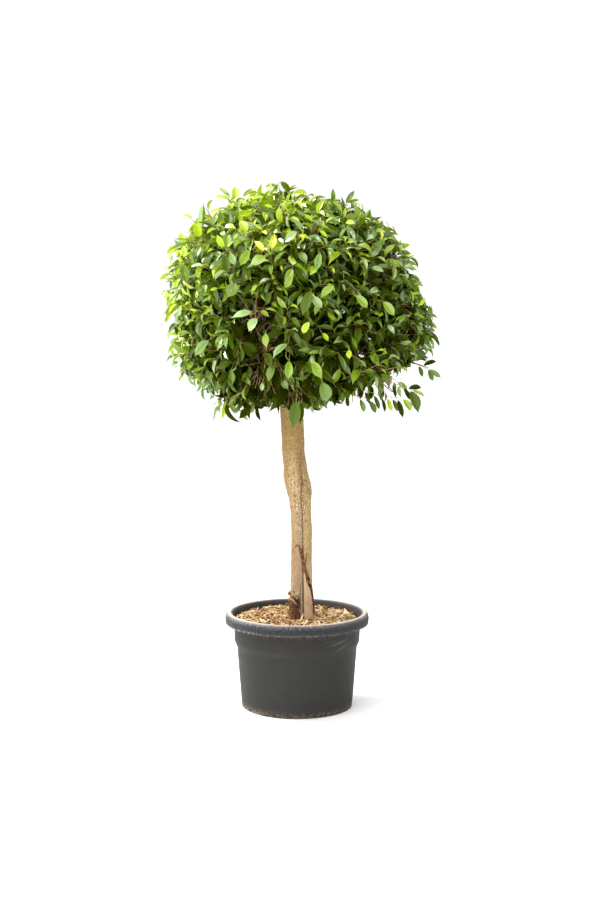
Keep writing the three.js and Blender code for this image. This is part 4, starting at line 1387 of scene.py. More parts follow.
def chips(kind, random):
    """Chips of one kind strewn over the bed, each lying its own way."""
    count = kind["count"]
    pattern, faces = chip_pattern()
    length = random.uniform(*kind["length"], count)
    outward = np.sqrt(random.uniform(CHIP["middle"], 1, count)) * (MULCH["radius"] - CHIP["edge"] * length)
    spot = spoke(random.uniform(0, 2 * math.pi, count)) * outward[:, None]
    turn = random.uniform(0, 2 * math.pi, count)
    tilt = np.radians(random.normal(0, kind["tilt"] / 2, count))[:, None]
    cant = np.radians(random.normal(0, kind["tilt"], count))[:, None]
    way = turned(spoke(turn), UP, tilt)
    level = np.cross(UP, spoke(turn))
    side = turned(level, np.cross(way, level), cant)
    face = np.cross(way, side)
    width = random.uniform(*kind["width"], count)
    thickness = np.clip(width * random.uniform(*CHIP["thickness"], count), *CHIP["thickness_limits"])
    ragged = pattern + random.normal(0, CHIP["ragged"], (count, *pattern.shape))
    bow = random.normal(0, CHIP["bow"], count)[:, None] * (2 * ragged[..., 0]) ** 2
    sized = ragged * np.stack([length, width, thickness], -1)[:, None]
    sized[..., 2] += bow * length[:, None]
    rise = random.uniform(*CHIP["rise"], count) + np.abs(np.sin(tilt[:, 0])) * length * CHIP["tilt_lift"]
    spot = spot + (mulch_height(spot) + rise)[:, None] * UP
    points = spot[:, None] + sized @ np.stack([way, side, face], 1)
    reach = np.linalg.norm(points[..., :2], axis=-1).max(1)
    stem_centre, stem_radius = stem_at(np.full(count, MULCH["top"]))
    from_stem = np.linalg.norm((spot - stem_centre)[:, :2], axis=-1)
    in_pot = reach < MULCH["radius"] + CHIP["rim_play"]
    off_stem = from_stem >= stem_radius * CHIP["stem_share"]
    return Pile().add_copies(points[in_pot & off_stem], [faces])


# Stem.
def stem_at(heights):
    """Centre and radius of the stem at heights."""
    heights = np.asarray(heights, float)
    upper = np.clip(np.searchsorted(STEM[:, 0], heights), 1, len(STEM) - 1)
    low = STEM[upper - 1]
    high = STEM[upper]
    share = np.clip((heights - low[..., 0]) / (high[..., 0] - low[..., 0]), 0, 1)
    eased = (smoothstep(share, 0, 1) + share) / 2
    station = mix(low, high, eased[..., None])
    centre = np.concatenate([station[..., 1:3], heights[..., None]], -1)
    return centre, station[..., 3]


def grooved_radius(heights, bearings):
    """The stem's radius with the grooves between its lobes."""
    depth = fade(heights, *GROOVE_FADE)
    factor = np.ones_like(heights)
    for groove in STEM_GROOVES:
        factor -= groove["depth"] * depth * beside(bearings, groove)
    return stem_at(heights)[1] * factor


def growth_beads():
    """Balls along each growth: centre and radius."""
    centres = []
    radii = []
    share = np.linspace(0, 1, GROWTH["beads"])
    for growth in STEM_GROWTHS:
        stops = np.array(growth["stops"], float)
        along = np.linspace(0, 1, len(stops))
        height = np.interp(share, along, stops[:, 0])
        bearing = np.radians(np.interp(share, along, stops[:, 1]))
        centre, radius = stem_at(height)
        centres.append(centre + spoke(bearing) * (radius - growth["sink"])[:, None])
        radii.append(mix(*growth["radii"], share))
    return np.concatenate(centres), np.concatenate(radii)


BEAD_CENTRES, BEAD_RADII = growth_beads()


def dressed_radius(heights, bearings):
    """The stem's radius with what has grown onto its foot, blended in."""
    radius = grooved_radius(heights, bearings)
    low = heights < GROWTH["top"]
    way = spoke(bearings[low])
    ball = BEAD_CENTRES - stem_at(heights[low])[0][:, None]
    along = np.sum(ball * way[:, None], -1)
    off = np.sum(ball**2, -1) - along**2
    reach = np.where(off < BEAD_RADII**2, along + np.sqrt(np.maximum(BEAD_RADII**2 - off, 0)), 0).max(1)
    blend = GROWTH["blend"]
    radius[low] = blend * np.logaddexp(radius[low] / blend, reach / blend)
    return radius


def on_stem(heights, bearings, proud=0.0):
    """Points on the stem's surface, or proud of it."""
    radius = dressed_radius(heights, bearings) + proud
    return stem_at(heights)[0] + spoke(bearings) * radius[:, None]


def from_spot(heights, bearings, height, bearing, flatten=1.0):
    """Distance over the bark from a spot of the stem."""
    across = np.radians(off_bearing(bearings, bearing)) * stem_at(height)[1]
    return np.hypot(across, (heights - height) * flatten)


def knot_relief(heights, bearings):
    """Height of the knots' rings, and how dark their hearts are."""
    rise = np.zeros_like(heights)
    heart = np.zeros_like(heights)
    for height, bearing, radius, proud in KNOTS:
        off = from_spot(heights, bearings, height, bearing, KNOT["flatten"]) / radius
        rise += proud * (bell(off, 1) - KNOT["pit"] * bell(off, KNOT["pit_radius"]))
        heart += bell(off, KNOT["heart_radius"])
    return rise, heart


def bump_relief(heights, bearings):
    rise = np.zeros_like(heights)
    for height, bearing, radius, proud in STEM_BUMPS:
        rise += proud * bell(from_spot(heights, bearings, height, bearing), radius)
    return rise


def on_line(heights, bearings, line):
    """1 on a line up the stem that bends aside at the kink, falling to 0 past its spread."""
    bearing = line["bearing"] + line["bend"] * smoothstep(heights, *line["bend_heights"])
    return bell(off_bearing(bearings, bearing), line["spread"])


def left_of(bearings, mark):
    """1 on the left of a mark's bearing, past its edge."""
    return fade(off_bearing(bearings, mark["bearing"]), -mark["edge"], 0)


def shade_and_stains(heights, bearings, knots):
    """Where the bark is dark: painted shade by the dead root, at the foot's right edge and under the stringy
    bark, and dark bark at the ground and in the knots.
    """
    line = np.interp(heights, *ROOT_SHADE_STOPS.T)
    by_root = bell(off_bearing(bearings, line), SHADE_AND_STAIN["spread"]) * (heights < SHADE_AND_STAIN["top"])
    edge = BARK["right_edge"]
    right_edge = smoothstep(off_bearing(bearings, edge["bearing"]), 0, edge["edge"])
    on_right = np.abs(off_bearing(bearings, edge["middle"])) < edge["reach"]
    right_edge *= on_right * fade(heights, *edge["top"])
    patch = left_of(bearings, BARK["patch"]) * fade(heights, *BARK["patch"]["top"])
    patch *= off_bearing(bearings, BARK["patch"]["bearing"]) > -BARK["patch"]["reach"]
    ground = fade(heights, *BARK["ground"]["top"])
    stain_and_shade = SHADE_AND_STAIN["by_root"] * by_root + SHADE_AND_STAIN["right_edge"] * right_edge + patch
    return stain_and_shade + SHADE_AND_STAIN["ground"] * ground + SHADE_AND_STAIN["knots"] * np.clip(knots, 0, 1)


def bark_marks(heights, bearings, knots):
    """Where the bark is pink, pale, rough, stained, grown with lichen, or painted with olive and dark shade,
    each from 0 to 1.
    """
    names = ("lobe", "root", "band", "pale", "streak", "left_shade", "rough", "lichen")
    lobe, root, band, pale, streak, left_shade, rough_bark, lichen = (BARK[name] for name in names)
    front_off = off_bearing(bearings, FRONT)
    left_lobe = fade(front_off, *lobe["edge"]) * (np.abs(front_off) < lobe["reach"])
    fused_root = smoothstep(front_off, *lobe["edge"]) * (front_off < root["reach"])
    paler_left = mix(pale["right"], 1, left_of(bearings, pale))
    rough_foot = mix(rough_bark["foot_share"], 1, smoothstep(heights, *rough_bark["foot"]))
    return {
        "lobe": left_lobe * fade(heights, *lobe["top"]),
        "root": fused_root * fade(heights, *root["top"]),
        "band": on_line(heights, bearings, band) * smoothstep(heights, *band["foot"]),
        "pale": paler_left * bell(heights - pale["height"], pale["rise"]) + pale["elsewhere"],
        "olive_crown_shade": smoothstep(heights, *BARK["olive_crown_shade"]["foot"]),
        "streak": beside(bearings, streak) * bell(heights - streak["height"], streak["rise"]),
        "left_shade": left_of(bearings, left_shade) * smoothstep(heights, *left_shade["foot"]),
        "rough": rough_foot - rough_bark["top_loss"] * smoothstep(heights, *rough_bark["top"]),
        "stain_and_shade": shade_and_stains(heights, bearings, knots),
        "lichen": beside(bearings, lichen) * fade(heights, *lichen["top"]),
        "seam": seam_share(heights, bearings),
    }


def seam_share(heights, bearings):
    return on_line(heights, bearings, SEAM) * fade(heights, *SEAM["top"])


def trunk():
    """The stem with the relief of its bark, and marks for the bark's colours."""
    sides = STEM_MESH["sides"]
    rings = int((STEM_TIP - STEM_FOOT) / STEM_MESH["ring_gap"])
    grid = np.meshgrid(np.linspace(STEM_FOOT, STEM_TIP, rings), around(sides) - math.pi, indexing="ij")
    heights, bearings = (values.ravel() for values in grid)
    smooth = on_stem(heights, bearings)
    relief = -SEAM["depth"] * seam_share(heights, bearings)
    for size, scale, octaves, stretch in STEM_RELIEF:
        relief += size * rough(smooth * [1, 1, stretch], scale, octaves)
    knots, hearts = knot_relief(heights, bearings)
    relief += knots + bump_relief(heights, bearings)
    relief *= smoothstep(heights, STEM_FOOT, STEM_FOOT + STEM_MESH["smooth_foot"])
    marks = bark_marks(heights, bearings, hearts)
    marks = {name: np.clip(values, 0, 1) for name, values in marks.items()}
    points = smooth + spoke(bearings) * relief[:, None]
    return Pile().add(points, [grid_faces(rings, sides), end_faces(rings, sides)[::-1]], **marks)


def smooth_sway(random, steps, amount):
    """A gently wandering line of values, as far from its mean as the amount."""
    sway = np.cumsum(random.normal(0, 1, steps + SWAY_WINDOW - 1))
    sway = np.convolve(sway, np.full(SWAY_WINDOW, 1 / SWAY_WINDOW), "valid")
    sway -= sway.mean()
    return amount * sway / np.abs(sway).max()


def wavering(radius, kind, random):
    """Radii of a limb, ring by corner, that waver from corner to corner."""
    return radius[:, None] * (1 + kind["waver"] * random.normal(0, 1, (len(radius), kind["sides"])))


def strand_threads(strand, random):
    """Paths and radii of the threads that one dead root is frayed into."""
    steps = STRAND["steps"]
    stops = np.array(strand["stops"], float)
    share = np.linspace(0, len(stops) - 1, steps)
    height, bearing, radius = (np.interp(share, np.arange(len(stops)), part) for part in stops.T)
    for _ in range(STRAND["smoothings"]):
        for values in (height, bearing):
            values[1:-1] = np.convolve(values, STRAND["smoothing"], "valid")
    for _ in range(strand["threads"]):
        aside = bearing + smooth_sway(random, steps, strand["spread"])
        thin = radius * random.uniform(*STRAND["thinness"])
        lift = height + smooth_sway(random, steps, STRAND["lift"])
        yield on_stem(lift, np.radians(aside), STRAND["proud"] * thin), thin


def fibre(kind, share, random):
    """Path and radius of one fibre of the stringy bark, which starts at a share of the patch's breadth."""
    steps = FIBRE["steps"]
    foot = mix(*kind["bearings"], share)
    height = np.linspace(FIBRE["foot"], random.uniform(*kind["tops"]), steps)
    bearing = np.linspace(foot, foot - kind["slant"], steps) + smooth_sway(random, steps, FIBRE["sway"])
    thick = random.uniform(*kind["radius"])
    path = on_stem(height, np.radians(bearing), FIBRE["proud"] * thick)
    return path, thick * np.linspace(1, FIBRE["tip"], steps)


def dead_roots(random):
    """The dead climbing root, its side strands and the stringy dead bark on the left of the foot."""
    pile = Pile()
    for strand in STRANDS:
        for path, radius in strand_threads(strand, random):
            pile.add_limb(path, wavering(radius, STRAND, random))
    for kind in FIBRES:
        for index in range(kind["count"]):
            share = (index + random.uniform(*FIBRE["stray"])) / kind["count"]
            path, radius = fibre(kind, share, random)
            pile.add_limb(path, wavering(radius, FIBRE, random))
    return pile


def curled_stubs(random):
    """Dead ends that curl round the left of the foot, over the stringy bark."""
    share = np.linspace(0, 1, STUB["steps"])
    rings = 1 + STUB["ring_depth"] * np.sin(share * STUB["ring_turns"])
    pile = Pile()
    for stub in STUBS:
        bearing = np.radians(mix(*stub["bearings"], share))
        height = stub["height"] + stub["arch"] * (np.sin(share * math.pi) - STUB["droop"] * share)
        radius = stub["radius"] * (1 - STUB["taper"] * share) * rings
        path = on_stem(height, bearing, STUB["proud"] * radius)
        pile.add_limb(path, wavering(radius, STUB, random))
    return pile


# Boughs and shoots.
def bough_curve(bough, heading):
    """Start, bend and end of a bough: out from its fork, then up or down to its place."""
    name, _, elevation, fork, tip, *_ = bough
    start = stem_at(fork)[0]
    end = crown_point(heading, tip)
    if name == "top":
        return start, mix(start, end, 0.5) + LEADER_SWAY, end
    bend = mix(start, end, BOUGH_ARCH["outward"])
    rise = BOUGH_ARCH["lower_rise" if elevation < 0 else "upper_rise"]
    bend[2] = mix(start[2], end[2], rise)
    return start, bend, end


BOUGH_CURVES = [bough_curve(bough, heading) for bough, heading in zip(BOUGHS, HEADINGS)]


def mass_stem(bough, heading, curve):
    """The stem that each mass grows on, from its bough's tip."""
    tip = bough[4]
    return curve[2], crown_point(heading, (tip + STEM_END) / 2), crown_point(heading, STEM_END)


MASS_STEMS = [mass_stem(*limb) for limb in zip(BOUGHS, HEADINGS, BOUGH_CURVES)]


def boughs(random):
    """Each bough with its mass's stem, as one tapering limb with a swollen collar at the fork."""
    share = np.linspace(0, 1, LIMB["steps"])
    pile = Pile()
    for bough, curve, stem in zip(BOUGHS, BOUGH_CURVES, MASS_STEMS):
        path = np.concatenate([bezier(*curve, share), bezier(*stem, share[1:])])
        rings = len(path)
        thick, thin = bough[5:]
        radius = np.concatenate([mix(thick, thin, share), mix(thin, thin * LIMB["tip"], share[1:])])
        collar = 1 + LIMB["collar"] * bell(np.arange(rings), LIMB["collar_rings"])
        knobs = np.convolve(random.normal(0, 1, rings + 2), LIMB["knob_blend"], "valid")
        knobs = 1 + LIMB["knobs"] * knobs
        radii = wavering(radius * collar * knobs, LIMB, random)
        wander = np.cumsum(random.normal(0, LIMB["wander"], path.shape), 0)
        held_at_ends = np.sin(np.linspace(0, math.pi, rings))[:, None]
        pile.add_limb(path + wander * held_at_ends, radii)
    return pile


def dealt_shoots(random):
    """Direction, limit and curve of every shoot: dealt evenly, but clear of those that stand out."""
    dealt = golden_directions(SHOOTS["count"])
    long = np.array([direction_of(*shoot[:2]) for shoot in LONG_SHOOTS])
    clear = np.degrees(angle_between(dealt, long)).min(1) > SHOOTS["spacing"]
    ways = np.concatenate([dealt[clear], long])
    reach = SHOOTS["reach"] + random.uniform(-1, 1, len(ways)) * SHOOTS["spread"]
    limit = np.ones(len(ways))
    reach[-len(long) :], limit[-len(long) :] = np.array(LONG_SHOOTS)[:, 2:].T
    angles = angle_between(ways, HEADINGS)
    owner = angles.argmin(1)
    stems = np.array(MASS_STEMS)[owner]
    share = np.clip(1 - angles.min(1), SHOOTS["lowest_start"], 1)
    start = bezier(stems[:, 0], stems[:, 1], stems[:, 2], share)
    elbow = unit(mix(ways, HEADINGS[owner], SHOOTS["gather"]))
    bend = crown_point(elbow, SHOOTS["elbow"])
    return {"way": ways, "limit": limit, "start": start, "bend": bend, "end": crown_point(ways, reach)}


def dealt_sprays(shoots, kind, random):
    """Finer twigs of the shoots by the same rule: each belongs to the shoot that points nearest its way."""
    ways = golden_directions(kind["count"])
    ways = unit(ways + random.normal(0, SPRAY["scatter"], ways.shape))
    count = len(ways)
    angles = angle_between(ways, shoots["way"])
    away = angles.min(1)
    parent = chosen(shoots, angles.argmin(1))
    stray = random.uniform(-SPRAY["start_scatter"], SPRAY["start_scatter"], count)
    share = np.clip(1 - SPRAY["start_turn"] * away + stray, *SPRAY["starts"])
    change = over_crown(ways, UNEVENNESS, SWELLS)
    reach = random.uniform(*kind["reach"], count) + change
    parent_reach = crown_share(parent["end"])
    if kind["tops"]:
        stands_out = parent_reach > SHOOTS["reach"] + 2 * SHOOTS["spread"]
        top_reach = parent_reach * random.uniform(*SPRAY["top_reach"], count)
        reach = np.where(stands_out & (away < SPRAY["top_angle"]), top_reach, reach)
    reach = above_underside(ways, reach)
    share = np.minimum(share, np.maximum(reach / parent_reach - SPRAY["start_back"], SPRAY["starts"][0]))
    start = bezier(*stops_of(parent), share)
    elbow = unit(mix(ways, parent["way"], SPRAY["gather"]))
    elbow_reach = np.maximum(kind["elbow"], reach - SPRAY["elbow_back"])
    bend = mix(start, crown_point(elbow, elbow_reach), SPRAY["bend_share"])
    end = crown_point(ways, reach)
    end[:, 2] -= random.uniform(0.0, SPRAY["droop"], count)
    parent_limit = np.maximum(parent["limit"], kind["limit"])
    limit = np.where(away < SPRAY["limit_angle"], parent_limit, kind["limit"]) + change
    made = {"way": ways, "start": start, "bend": bend, "end": end, "limit": limit, "reach": reach}
    return with_leaf_rule(made, kind["leaves"])


def with_leaf_rule(sprays, leaves):
    """How many leaves grow on each spray, how close together and how much they hang."""
    low = smoothstep(-sprays["way"][:, 2], *LEAF["low_side"])
    sprays["leaves"] = np.broadcast_to(leaves, len(low))
    sprays["gap"] = np.full(len(low), LEAF["gap"])
    sprays["hang"] = LEAF["hang"] + LEAF["low_hang"] * low
    return sprays


def shoots_as_sprays(shoots):
    """The shoots themselves, which bear leaves as the sprays do."""
    return with_leaf_rule({**shoots, "reach": crown_share(shoots["end"])}, SPRAYS[0]["leaves"])


def open_sprays():
    """The open twigs as sprays, with leaves further apart that hang."""
    start, bend, end = (np.array([twig[part] for twig in OPEN_TWIGS]) for part in range(3))
    made = {"way": unit(crown_inner(end)), "start": start, "bend": bend, "end": end}
    made = with_leaf_rule(made, [twig[3] for twig in OPEN_TWIGS])
    return made | {name: np.full(len(end), value) for name, value in OPEN.items()}


def front_depth(x, z):
    """The y at which the crown's front lies at x and z."""
    points = np.stack(np.broadcast_arrays(x, FRONT_DEPTHS, z), -1)
    return FRONT_DEPTHS[np.abs(crown_share(points) - PLACED["front"]).argmin()]


def pointing(turns, outward):
    """Ways given in degrees from +X towards up, leaning out of the crown."""
    turns = np.radians(turns)
    way = np.stack([np.cos(turns), turns * 0, np.sin(turns)], -1)
    return unit(way + PLACED["outward"] * outward * [1, 1, 0])


def facing_leaves(node, stalk, way, rows):
    """Leaves of given length, breadth and tone on stalks from their nodes, facing the front."""
    length, breadth = np.array([row[:2] for row in rows]).T
    return {
        "node": node,
        "root": node + stalk,
        "way": way,
        "face": squared(np.array(PLACED["faces"]), way),
        "length": length,
        "width": length * breadth,
        "tone": np.array([tone_value(row[2]) for row in rows]),
    }


def placed_leaves():
    """The leaves that have a place, and the twigs that carry them."""
    rows = [(x, front_depth(x, z), z, *rest) for x, z, *rest in FRONT_LEAVES] + EDGE_LEAVES
    root = np.array([row[:3] for row in rows])
    outward = unit(crown_inner(root))
    way = pointing([row[3] for row in rows], outward)
    stalk = unit(outward + way) * LEAF["stalk"]
    node = root - stalk
    start = crown_point(outward, PLACED["start"])
    bend = mix(start, node, PLACED["bend_share"]) + PLACED["bend_lift"] * UP
    leaves = facing_leaves(node, stalk, way, [row[4:] for row in rows])
    return leaves, {"way": outward, "start": start, "bend": bend, "end": node}


def hanging_leaves():
    """The leaves that have a place on the open twigs."""
    curves = [np.array(OPEN_TWIGS[row[0]][:3]) for row in HANGING_LEAVES]
    node = np.array([bezier(*curve, row[1]) for curve, row in zip(curves, HANGING_LEAVES)])
    outward = unit(crown_inner(node))
    way = pointing([row[2] for row in HANGING_LEAVES], outward)
    stalk = unit(outward + way) * LEAF["stalk"]
    return facing_leaves(node, stalk, way, [row[3:] for row in HANGING_LEAVES])


def tone_value(name):
    """A tone in the middle of the range that a name stands for."""
    edges = [TONE_ENDS[0], *TONE_EDGES, TONE_ENDS[1]]
    index = TONE_NAMES.index(name)
    return (edges[index] + edges[index + 1]) / 2


def curve_length(curves):
    points = curve_points(curves, np.linspace(0, 1, LENGTH_STEPS))
    steps = np.linalg.norm(np.diff(points, axis=1), axis=-1)
    return sum(steps.T)


def twigs(curves, kind, random):
    """Tapering twigs of one kind along their curves, with small jogs."""
    share = np.linspace(0, 1, kind["steps"])
    paths = curve_points(curves, share)
    jog = random.normal(0, TWIG_JOG, paths.shape) * np.sin(share * math.pi)[None, :, None]
    radius = mix(*kind["radii"], share)[None] * random.uniform(*TWIG_THICKNESS, (len(paths), 1))
    return Pile().add(*tubes(paths + jog, radius, kind["sides"]))


# Leaves.
def spray_tones(sprays, random):
    """How light each spray is, from 0 to 1: painted light makes it yellow at the top and the left, painted
    shade dark below and inside.
    """
    outer = smoothstep(sprays["reach"], *TONE["outer_reach"])
    way = sprays["way"]
    tone = TONE["middle"] + TONE["lit"] * (way @ unit(np.array(LIT_SIDE))) + TONE["outer"] * (outer - 0.5)
    tone += over_crown(way, TONE_CLUSTERS, LIT_AND_SHADED_PLACES)
    return tone + random.normal(0, TONE["spray_spread"], len(tone))


def leaf_age(index):
    """From 0 for the leaves at the sprays' tips to 1 for those that are full grown."""
    return min(index / LEAF["age_nodes"], 1)


def leaf_ways(sprays, index, share, random):
    """Where the leaves at one node of every spray point and face, and which way their stalks go."""
    count = len(share)
    age = leaf_age(index)
    along = bezier_way(*stops_of(sprays), share)
    across = unit(square_to(along))
    over = np.cross(along, across)
    side_turn = sprays["way"][:, 0] * LEAF["turn_across"]
    turn = (index * GOLDEN_ANGLE + side_turn + random.normal(0, LEAF["turn_spread"], count))[:, None]
    lean = mix(LEAF["tip_lean"], LEAF["root_lean"], age) + random.normal(0, LEAF["lean_spread"], count)
    lean = np.radians(lean)[:, None]
    way = turned(along, turned(across, over, turn), lean)
    hang = sprays["hang"] * mix(LEAF["young_hang"], 1, age) * random.uniform(*LEAF["hang_spread"], count)
    stalk_way = unit(way + along * LEAF["stalk_lean"])
    way = unit(way - hang[:, None] * UP)
    face = along + UP * LEAF["lift"] + random.normal(0, LEAF["face_spread"], way.shape)
    face = squared(face, way)
    roll = np.radians(random.normal(0, LEAF["roll"], count))[:, None]
    return way, turned(face, np.cross(way, face), roll), stalk_way


def leaf_sizes(index, count, random):
    """Length and breadth of the leaves at one node of every spray, and the length of their stalks."""
    stalk = LEAF["stalk"] * random.uniform(*LEAF["stalk_spread"], count)
    vary = np.clip(random.normal(1, LEAF["length_spread"] / LEAF["length"], count), *LEAF["length_limits"])
    length = LEAF["length"] * mix(LEAF["young_length"], 1, min(index / LEAF["length_nodes"], 1)) * vary
    width_share = random.normal(LEAF["width_share"], LEAF["width_spread"], count)
    return length, length * width_share * mix(LEAF["young_width"], 1, leaf_age(index)), stalk


def node_leaves(sprays, index, along, tones, random):
    """The leaves at one node of every spray, where there is room for them inside the outline."""
    share = 1 - (index * sprays["gap"] + LEAF["tip_gap"]) / along
    count = len(share)
    node = bezier(*stops_of(sprays), share)
    way, face, stalk_way = leaf_ways(sprays, index, share, random)
    length, width, stalk = leaf_sizes(index, count, random)
    root = node + stalk_way * stalk[:, None]
    limit = sprays["limit"] + random.normal(0, LEAF["limit_spread"], count)
    keep = (index < sprays["leaves"]) & (share > LEAF["lowest_share"])
    keep &= crown_share(root + way * length[:, None]) < limit
    lightness = mix(TONE["young"], TONE["old"], leaf_age(index) ** TONE["age_power"])
    tone = tones + lightness + random.normal(0, TONE["leaf_spread"], count)
    made = {"node": node, "root": root, "way": way, "face": face}
    made |= {"length": length, "width": width, "tone": tone}
    return chosen(made, keep)


def spray_leaves(sprays, random):
    """Every leaf of the sprays, node by node from their tips."""
    along = curve_length(sprays)
    tones = spray_tones(sprays, random)
    nodes = range(int(sprays["leaves"].max()))
    return joined([node_leaves(sprays, index, along, tones, random) for index in nodes])


def sight_chance(points):
    """The share of leaves kept along the lines of sight where sky shows."""
    eye = np.array([CAMERA["x"], -CAMERA["distance"], CAMERA["height"]])
    seen = eye + (points - eye) * (SIGHT_DEPTH - eye[1]) / (points[:, 1:2] - eye[1])
    chance = np.ones(len(points))
    for x, z, radius in SIGHT_GAPS:
        chance[np.hypot(seen[:, 0] - x, seen[:, 2] - z) < radius] = SIGHT_KEPT
    return chance


def thinned(leaves, random):
    """Leaves left after the underside, the lines of sight and the places where fewer grow."""
    reach = leaves["way"] * leaves["length"][:, None]
    middle = leaves["root"] + reach / 2
    tip = leaves["root"] + reach
    way = unit(crown_inner(middle))
    chance = sight_chance(middle)
    lowest = underside(tip) + random.normal(0, UNDERSIDE["spread"], len(tip))
    chance *= (tip[:, 0] < 0) | (tip[:, 2] > lowest)
    shell = smoothstep(crown_share(middle), *THIN_SHELL)
    for azimuth, elevation, spread, kept in THIN_PLACES:
        chance *= 1 - (1 - kept) * shell * nearness(way, azimuth, elevation, spread, THIN_POWER)
    return chosen(leaves, random.uniform(0, 1, len(way)) < chance)


def leaf_pattern():
    """A flat leaf of unit size in two halves that don't share the rib, so that it shows as a crease."""
    along = LEAF_STATIONS
    belly = np.sin(math.pi * along ** LEAF_OUTLINE["belly"]) ** LEAF_OUTLINE["fullness"]
    breadth = belly * (1 - LEAF_OUTLINE["tip_loss"] * smoothstep(along, *LEAF_OUTLINE["tip"]))
    inner = len(along)
    edge = inner - 2
    halves = []
    threes = []
    fours = []
    for side in (1, -1):
        rib = len(halves) * (inner + edge) + np.arange(inner)
        rim = rib[-1] + 1 + np.arange(edge)
        rib_points = np.stack([along, along * 0], -1)
        rim_points = np.stack([along, side * breadth], -1)[1:-1]
        halves.append(np.concatenate([rib_points, rim_points]))
        threes.append(np.array([[rib[0], rib[1], rim[0]], [rib[-2], rib[-1], rim[-1]]])[:, ::side])
        fours.append(np.stack([rib[1:-2], rib[2:-1], rim[1:], rim[:-1]], -1)[:, ::side])
    return np.concatenate(halves), np.concatenate(threes), np.concatenate(fours)


def leaf_spine(leaves, share):
    """Points at shares along the leaves' bent midribs, and the angle each has bent through."""
    bend = leaves["bend"][:, None]
    length = leaves["length"][:, None]
    angle = bend * share
    forward = (np.sin(angle) / bend * length)[..., None]
    down = ((1 - np.cos(angle)) / bend * length)[..., None]
    spine = leaves["root"][:, None] + leaves["way"][:, None] * forward - leaves["face"][:, None] * down
    return spine, angle[..., None]


def leaf_pile(leaves, random):
    """Leaves bent along their length, folded at the rib and twisted towards the tip."""
    pattern, threes, fours = leaf_pattern()
    along, across = pattern.T
    count = len(leaves["root"])
    spine, angle = leaf_spine(leaves, along)
    fold = np.radians(random.uniform(*LEAF["fold"], count))[:, None]
    twist = (random.normal(0, LEAF["twist"], count)[:, None] * along)[..., None]
    half = leaves["width"][:, None] / 2
    way = leaves["way"][:, None]
    face = leaves["face"][:, None]
    side = np.cross(face, way)
    normal = turned(face, way, angle)
    ripple = LEAF["ripple"] * np.sin(along * LEAF["ripple_turns"]) * np.abs(across)
    spread = (across * half * np.cos(fold))[..., None]
    lift = (np.abs(across) * half * np.sin(fold) + ripple)[..., None]
    points = spine + turned(side, normal, twist) * spread + turned(normal, -side, twist) * lift
    return Pile().add_copies(points, [threes, fours])


def rib_pile(leaves):
    """Pale midribs, which lie just over the leaves' creases."""
    spine, _ = leaf_spine(leaves, np.array(LEAF["rib_stations"]))
    face = leaves["face"][:, None]
    side = np.cross(face, leaves["way"][:, None])
    half = side * LEAF["rib_width"] / 2 * np.array(LEAF["rib_taper"])[:, None]
    spine = spine + face * LEAF["rib_lift"]
    points = np.concatenate([spine - half, spine + half], 1)
    return Pile().add_copies(points, [[[0, 1, 4, 3], [1, 2, 5, 4]]])


def stalk_pile(leaves):
    """Stalks from the nodes to just inside the leaves."""
    end = leaves["root"] + leaves["way"] * leaves["length"][:, None] * LEAF["stalk_end"]
    paths = np.stack([leaves["node"], leaves["root"], end], 1)
    return Pile().add(*tubes(paths, np.array([LEAF["stalk_radii"]]), 3))


# Putting it together.
def build_container(random):
    piece("pot_shell", pot_mesh(), pot_plastic(), ["pot"])
    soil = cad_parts["soil"]
    soil.data.materials.clear()
    soil.data.materials.append(soil_mix())
    piece("mulch_bed", mulch_bed(), wood_chip("mulch_bed", *CHIP_TINTS["bed"]), ["mulch"])
    for kind in CHIP_KINDS:
        name = "chips_" + kind["name"]
        wood = wood_chip(name, *CHIP_TINTS[kind["name"]])
        piece(name, chips(kind, random), wood, ["mulch"])


def build_limbs(random):
    piece("stem", trunk(), trunk_bark(), ["trunk"])
    piece("dead_roots", dead_roots(random), dead_bark(), ["trunk"])
    stub = twig_bark("stub_bark", (178, 144, 116), (96, 66, 46))
    piece("curled_stubs", curled_stubs(random), stub, ["trunk"])
    piece("boughs", boughs(random), bough_bark(), ["bough_" + bough[0] for bough in BOUGHS])


def foliage(name, pile, material):
    piece(name, pile, material, MASSES)


def build_twigs(shoots, sprays, placed_twigs, random):
    woody = twig_bark("shoot_bark", (152, 114, 82), (104, 74, 50))
    fine = twig_bark("twig_bark", (172, 142, 94), (126, 96, 60))
    foliage("shoots", twigs(shoots, TWIGS["shoots"], random), woody)
    foliage("twigs", twigs(sprays, TWIGS["sprays"], random), fine)
    foliage("placed_twigs", twigs(placed_twigs, TWIGS["placed"], random), fine)


def build_leaves(leaves, random):
    """The leaves with their stalks, and ribs on those of the lighter tones, each tone a piece."""
    foliage("leaf_stalks", stalk_pile(leaves), twig_bark("stalk_skin", (146, 158, 72), (168, 170, 88)))
    tone_of = np.searchsorted(TONE_EDGES, leaves["tone"])
    ribbed = chosen(leaves, tone_of >= TONE_NAMES.index("fresh"))
    foliage("leaf_ribs", rib_pile(ribbed), leaf_skin("leaf_rib", (176, 196, 104), 0.5, 0.3, 0.3))
    for index, (name, *looks) in enumerate(LEAF_TONES):
        pile = leaf_pile(chosen(leaves, tone_of == index), random)
        foliage("leaves_" + name, pile, leaf_skin("leaf_" + name, *looks))


def build_foliage(random):
    shoots = dealt_shoots(random)
    spray_sets = [dealt_sprays(shoots, kind, random) for kind in SPRAYS]
    placed, placed_twigs = placed_leaves()
    build_twigs(shoots, joined([*spray_sets, open_sprays()]), placed_twigs, random)
    grown = spray_leaves(joined([shoots_as_sprays(shoots), *spray_sets]), random)
    open_leaves = spray_leaves(open_sprays(), random)
    leaves = joined([thinned(grown, random), open_leaves, placed, hanging_leaves()])
    leaves["bend"] = random.uniform(*LEAF["bend"], len(leaves["root"]))
    build_leaves(leaves, random)


